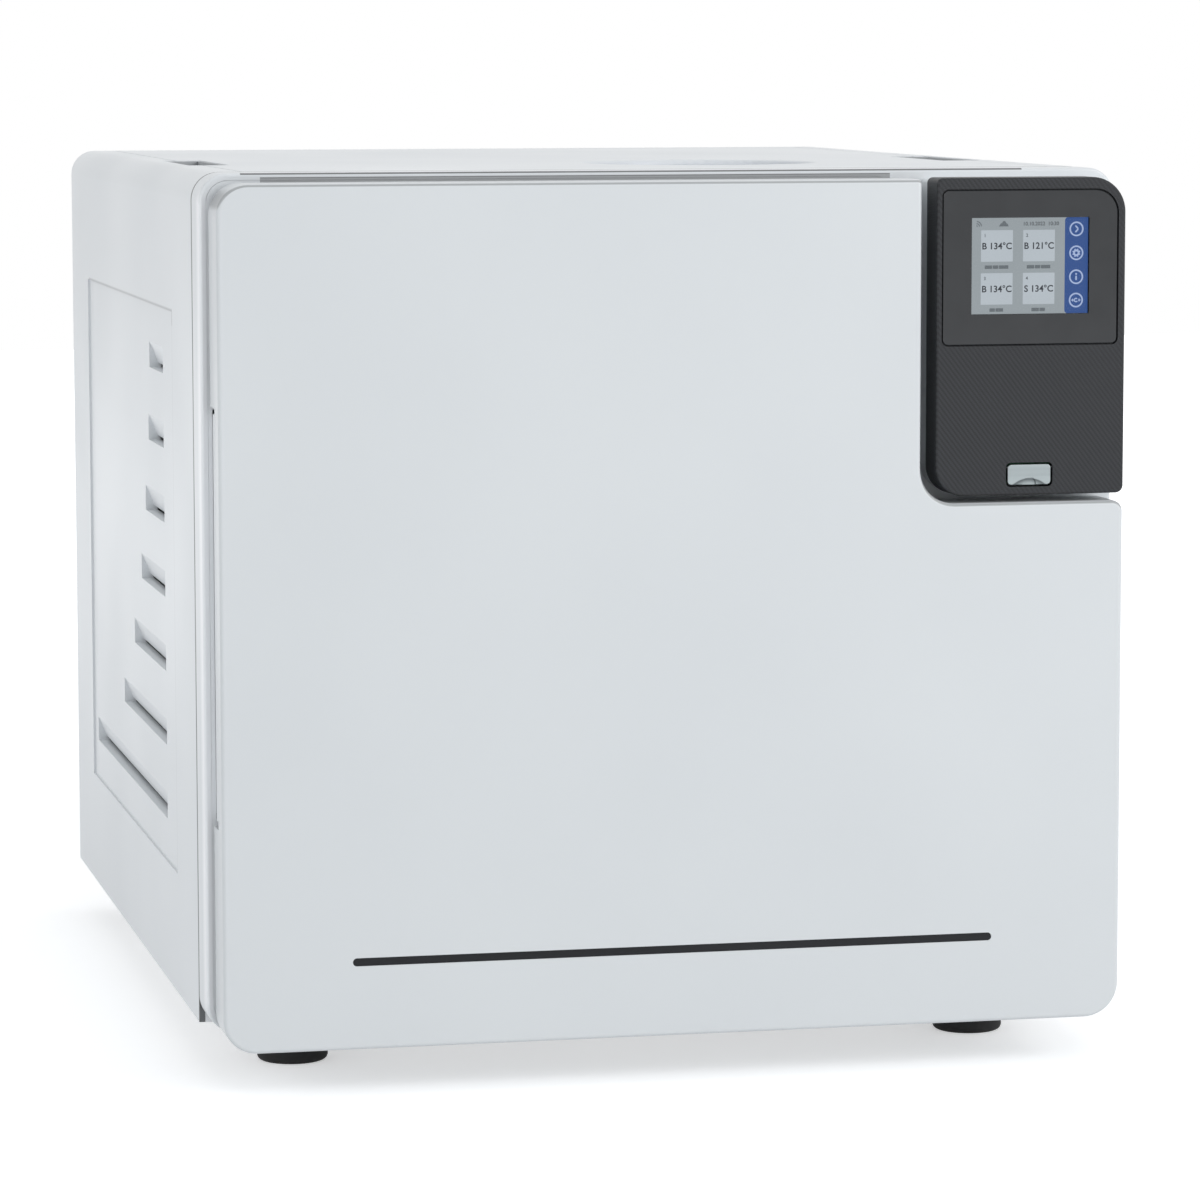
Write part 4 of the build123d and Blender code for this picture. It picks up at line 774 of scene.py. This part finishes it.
signSet = {
    "x": 210.0,
    "heights": (436.4, 424.1, 411.8, 399.8),
    "ring": (3.0, 3.8),                      # inner and outer radius
    "line": 0.75,
    "chevron": (-0.6, 0.9, 1.7, 0.05),       # open end, tip, half height, half gap at the tip
    "wheel": (0.75, 1.75),
    "teeth": (8, 1.7, 2.2, 0.7),             # number, foot, head, width
    "stem": (-1.7, 0.5, 0.85),               # foot, head, width of the letter i
    "dot": (1.45, 0.0001, 0.5),              # height, pinhole, radius
    "dotSweep": (0, 359, 16),                # first and last angle, and how many points
    "loop": (0.55, 1.15, 40, 330),           # radii, and the angles where it starts and ends
    "shaft": (1.5, 2.5, 0.55),               # near end, far end, width
    "barb": (1.35, 1.9, 0.7, 0.4),           # tip, foot, half height, width
}
litSet = {
    "pitch": 0.22 * mm,
    "betweenPixels": 0.8,                    # brightness against the pixels' own
    "palest": 1.05,
    "unlit": (0.004, 0.004, 0.005, 1),
    "roughness": 0.5,
    "gloss": 0.1,
    "gridEdge": (0.55, 1.0),
    "driftScale": 38.0,
    "colours": {
        "screenGround": (0.335, 0.375, 0.398),
        "screenTiles": (0.50, 0.555, 0.60),
        "screenMenu": (0.038, 0.092, 0.285),
        "screenSigns": (0.40, 0.50, 0.74),
        "screenFigures": (0.045, 0.050, 0.058),
        "screenCaptions": (0.150, 0.172, 0.187),
        "screenSmallFigures": (0.10, 0.115, 0.125),
    },
}


def makePixelGrid(settings):
    # 1 between the rows and columns of a display's pixels: the larger of two cosines, sharpened
    tree, given, out = newGroup("pixelGrid", [("Pitch", "Float", 0.0002)],
                                [("Gap", "Float"), ("Drift", "Float")])
    x, y, z = splitPlace(tree)
    waves = []
    for value in (x, z):
        turns = calc(tree, "MULTIPLY", calc(tree, "DIVIDE", value, given["Pitch"]), 2 * pi)
        waves.append(calc(tree, "COSINE", turns))
    tree.links.new(span(tree, calc(tree, "MAXIMUM", *waves), *settings["gridEdge"], 0.0, 1.0), out["Gap"])
    drift = noise(tree, settings["driftScale"], 1.0)
    tree.links.new(span(tree, drift, *usualNoise, 0.0, 1.0), out["Drift"])
    return tree


pixelGrid = makePixelGrid(litSet)


def litPaint(name, settings):
    # a lit picture: its colour glows, a little duller in the gaps between the pixels
    paint, tree, shader = newMaterial(name)
    colour = settings["colours"][name]
    grid = useGroup(tree, pixelGrid, Pitch=settings["pitch"])
    dull = tuple(settings["betweenPixels"] * part for part in colour)
    pale = tuple(settings["palest"] * part for part in colour)
    glow = blendColour(tree, grid["Drift"], (*colour, 1), (*pale, 1))
    tree.links.new(blendColour(tree, grid["Gap"], glow, (*dull, 1)), shader.inputs["Emission Color"])
    shader.inputs["Emission Strength"].default_value = 1.0
    shader.inputs["Base Color"].default_value = settings["unlit"]
    shader.inputs["Roughness"].default_value = settings["roughness"]
    shader.inputs["Specular IOR Level"].default_value = settings["gloss"]
    return paint


def chevronSign(x, z, settings):
    # two strokes from the open end on the left to the tip on the right
    back, tip, half, gap = settings["chevron"]
    return [stroke((x + back, z + half), (x + tip, z + gap), settings["line"]),
            stroke((x + tip, z - gap), (x + back, z - half), settings["line"])]


def wheelSign(x, z, settings):
    # a ring with teeth at equal angles, the first half a step up from the right
    count, foot, head, width = settings["teeth"]
    shapes = wholeRing(x, z, *settings["wheel"])
    for number in range(count):
        angle = (number + 0.5) * 2 * pi / count
        away = np.array((cos(angle), sin(angle)))
        shapes.append(stroke((x, z) + away * foot, (x, z) + away * head, width))
    return shapes


def letterSign(x, z, settings):
    # a stem, and a round dot over it
    foot, head, width = settings["stem"]
    rise, pinhole, radius = settings["dot"]
    dot = arcBand(x, z + rise, pinhole, radius, *settings["dotSweep"])
    return [stroke((x, z + foot), (x, z + head), width), dot]


def loopSign(x, z, settings):
    # an open ring with a shaft and an arrowhead on each side
    near, far, shaftWidth = settings["shaft"]
    tip, foot, half, barbWidth = settings["barb"]
    shapes = [arcBand(x, z, *settings["loop"])]
    for side in (-1, 1):
        shapes.append(stroke((x + side * near, z), (x + side * far, z), shaftWidth))
        shapes.append(stroke((x + side * foot, z + half), (x + side * tip, z), barbWidth))
        shapes.append(stroke((x + side * foot, z - half), (x + side * tip, z), barbWidth))
    return shapes


def menuSigns(settings):
    # four rings, and in them a chevron, a wheel, a letter i and a loop between two arrows
    x = settings["x"]
    shapes = [band for z in settings["heights"] for band in wholeRing(x, z, *settings["ring"])]
    for z, sign in zip(settings["heights"], (chevronSign, wheelSign, letterSign, loopSign)):
        shapes.extend(sign(x, z, settings))
    return shapes


def captionBars(tiles, tileWidth, settings):
    # under each tile a row of bars, one for each word, centred on the tile
    bars = []
    for (tileLeft, tileBottom), widths in zip(tiles, settings["words"]):
        left = tileLeft + tileWidth / 2 - 0.5 * sum(widths) * settings["unit"]
        low = tileBottom - settings["drop"]
        high = low + settings["high"]
        for width in widths:
            far = left + settings["unit"] * width
            bars.append(roundedBox(left, far - settings["gap"], low, high, (settings["round"],) * 4))
            left = far
    return bars


def headerShapes(left, top, settings):
    # quarter arcs round one point for the signal, and a cloud
    x, z = left + settings["signalPlace"][0], top + settings["signalPlace"][1]
    arcs = [arcBand(x, z, inner, inner + settings["signalWidth"], *settings["signalAngles"])
            for inner in settings["signalRadii"]]
    return arcs + [np.array(settings["cloud"])]


def makeDisplayPicture(settings):
    left, right, bottom, top = settings["ground"]
    width, height = settings["tileSize"]
    layer = settings["layer"]
    front = settings["front"]
    middle = front - layer
    near = middle - layer
    sharp = settings["sharp"]
    tiles = [(x, z) for z in settings["tileBottoms"] for x in settings["tileLefts"]]
    tileShapes = [roundedBox(x, x + width, z, z + height, (settings["tileRound"],) * 4) for x, z in tiles]
    figures = [(words, x + width / 2, z + settings["cycleRise"], settings["cycleHeight"])
               for (x, z), words in zip(tiles, settings["cycles"])]
    alongTile, upTile = settings["numberPlace"]
    small = [(str(number + 1), x + alongTile, z + upTile, settings["numberHeight"])
             for number, (x, z) in enumerate(tiles)]
    small.append(settings["dateText"])
    ground = roundedBox(left, right, bottom, top, (sharp,) * 4)
    menuRound = settings["menuRound"]
    menu = roundedBox(settings["menuLeft"], right, bottom, top, (menuRound, sharp, sharp, menuRound))
    captions = captionBars(tiles, width, captionSet) + headerShapes(left, top, headerSet)
    meshes = {
        "screenGround": slabMesh("screenGround", [ground], front, settings["back"] - front),
        "screenTiles": slabMesh("screenTiles", tileShapes, middle, layer),
        "screenMenu": slabMesh("screenMenu", [menu], middle, layer),
        "screenSigns": slabMesh("screenSigns", menuSigns(signSet), near, layer),
        "screenFigures": lettersMesh("screenFigures", figures, near, layer),
        "screenCaptions": slabMesh("screenCaptions", captions, near, layer),
        "screenSmallFigures": lettersMesh("screenSmallFigures", small, near, layer),
    }
    for name, mesh in meshes.items():
        addPiece(name, mesh, litPaint(name, litSet), housing)
    print("display picture ready:", len(meshes), "pieces")


makeDisplayPicture(displaySet)


# ledge round the recess behind the door, just inside the bezel's rim
ledgeSet = {
    "front": -266.9,
    "thick": 1.4,
    "wide": 6.0,
    "outer": ((-236.4, 33.6), (236.4, 33.6), (236.4, 288.0), (120.0, 288.0), (120.0, 463.4),
              (-236.4, 463.4)),
    "radii": (11, 11, 4, 10, 10, 11),
    "leastRadius": 0.5,
    "cornerSteps": 7,
    "hinge": (139.4, 348.6),                 # heights between which it leaves room for the hinge arm
    "narrow": 2.2,                           # its width there
    "step": 0.01,                            # height over which the width changes
}


def roundedPath(settings, inset):
    # each corner is an arc tangent to both edges, on the outline moved inwards by inset.
    # The outline runs anticlockwise; inner corners turn the other way, so their radius grows.
    corners = np.array(settings["outer"], float)
    before = corners - np.roll(corners, 1, axis=0)
    after = np.roll(corners, -1, axis=0) - corners
    before /= np.linalg.norm(before, axis=1)[:, None]
    after /= np.linalg.norm(after, axis=1)[:, None]
    inward = np.column_stack((-before[:, 1] - after[:, 1], before[:, 0] + after[:, 0]))
    moved = corners + inward * inset
    turns = before[:, 0] * after[:, 1] - before[:, 1] * after[:, 0]
    rounds = np.maximum(np.array(settings["radii"]) - turns * inset, settings["leastRadius"])[:, None]
    # arc: centre - radius (after cos a - before sin a), from the edge before to the edge after
    centre = moved + (after - before) * rounds
    angles = np.linspace(0, pi / 2, settings["cornerSteps"])[None, :, None]
    alongBefore = (before * rounds)[:, None, :] * np.sin(angles)
    alongAfter = (after * rounds)[:, None, :] * np.cos(angles)
    return (centre[:, None, :] + (alongBefore - alongAfter)).reshape(-1, 2)


def makeLedge(settings):
    # a flat band between the outline and the same outline moved inwards, with front, back and walls
    low, high = settings["hinge"]
    left, step = settings["outer"][0][0], settings["step"]
    heights = np.array((high, high - step, low + step, low))
    widths = np.array((settings["wide"], settings["narrow"], settings["narrow"], settings["wide"]))
    # the narrow stretch ends the loop, because the left edge is its last one
    outerEnd = np.column_stack((np.full(len(heights), left), heights))
    innerEnd = np.column_stack((left + widths, heights))
    outer = np.concatenate((roundedPath(settings, 0.0), outerEnd))
    inner = np.concatenate((roundedPath(settings, settings["wide"]), innerEnd))
    count = len(outer)
    front = settings["front"]
    back = front + settings["thick"]
    rings = [np.column_stack((ring[:, 0], np.full(count, y), ring[:, 1]))
             for ring, y in ((outer, front), (inner, front), (inner, back), (outer, back))]
    index = np.arange(count)
    following = np.roll(index, -1)
    faces = []
    for number in range(len(rings)):
        near, far = number * count, (number + 1) % len(rings) * count
        sides = np.column_stack((near + index, near + following, far + following, far + index))
        faces.extend(sides.tolist())
    mesh = bpy.data.meshes.new("bezelLedge")
    mesh.from_pydata((np.concatenate(rings) * mm).tolist(), [], faces)
    # its finish carries the bezel's painted light and shade
    addPiece("bezelLedge", mesh, finishes["bezel_white"], housing)
    print("ledge ready:", len(faces), "faces")


makeLedge(ledgeSet)
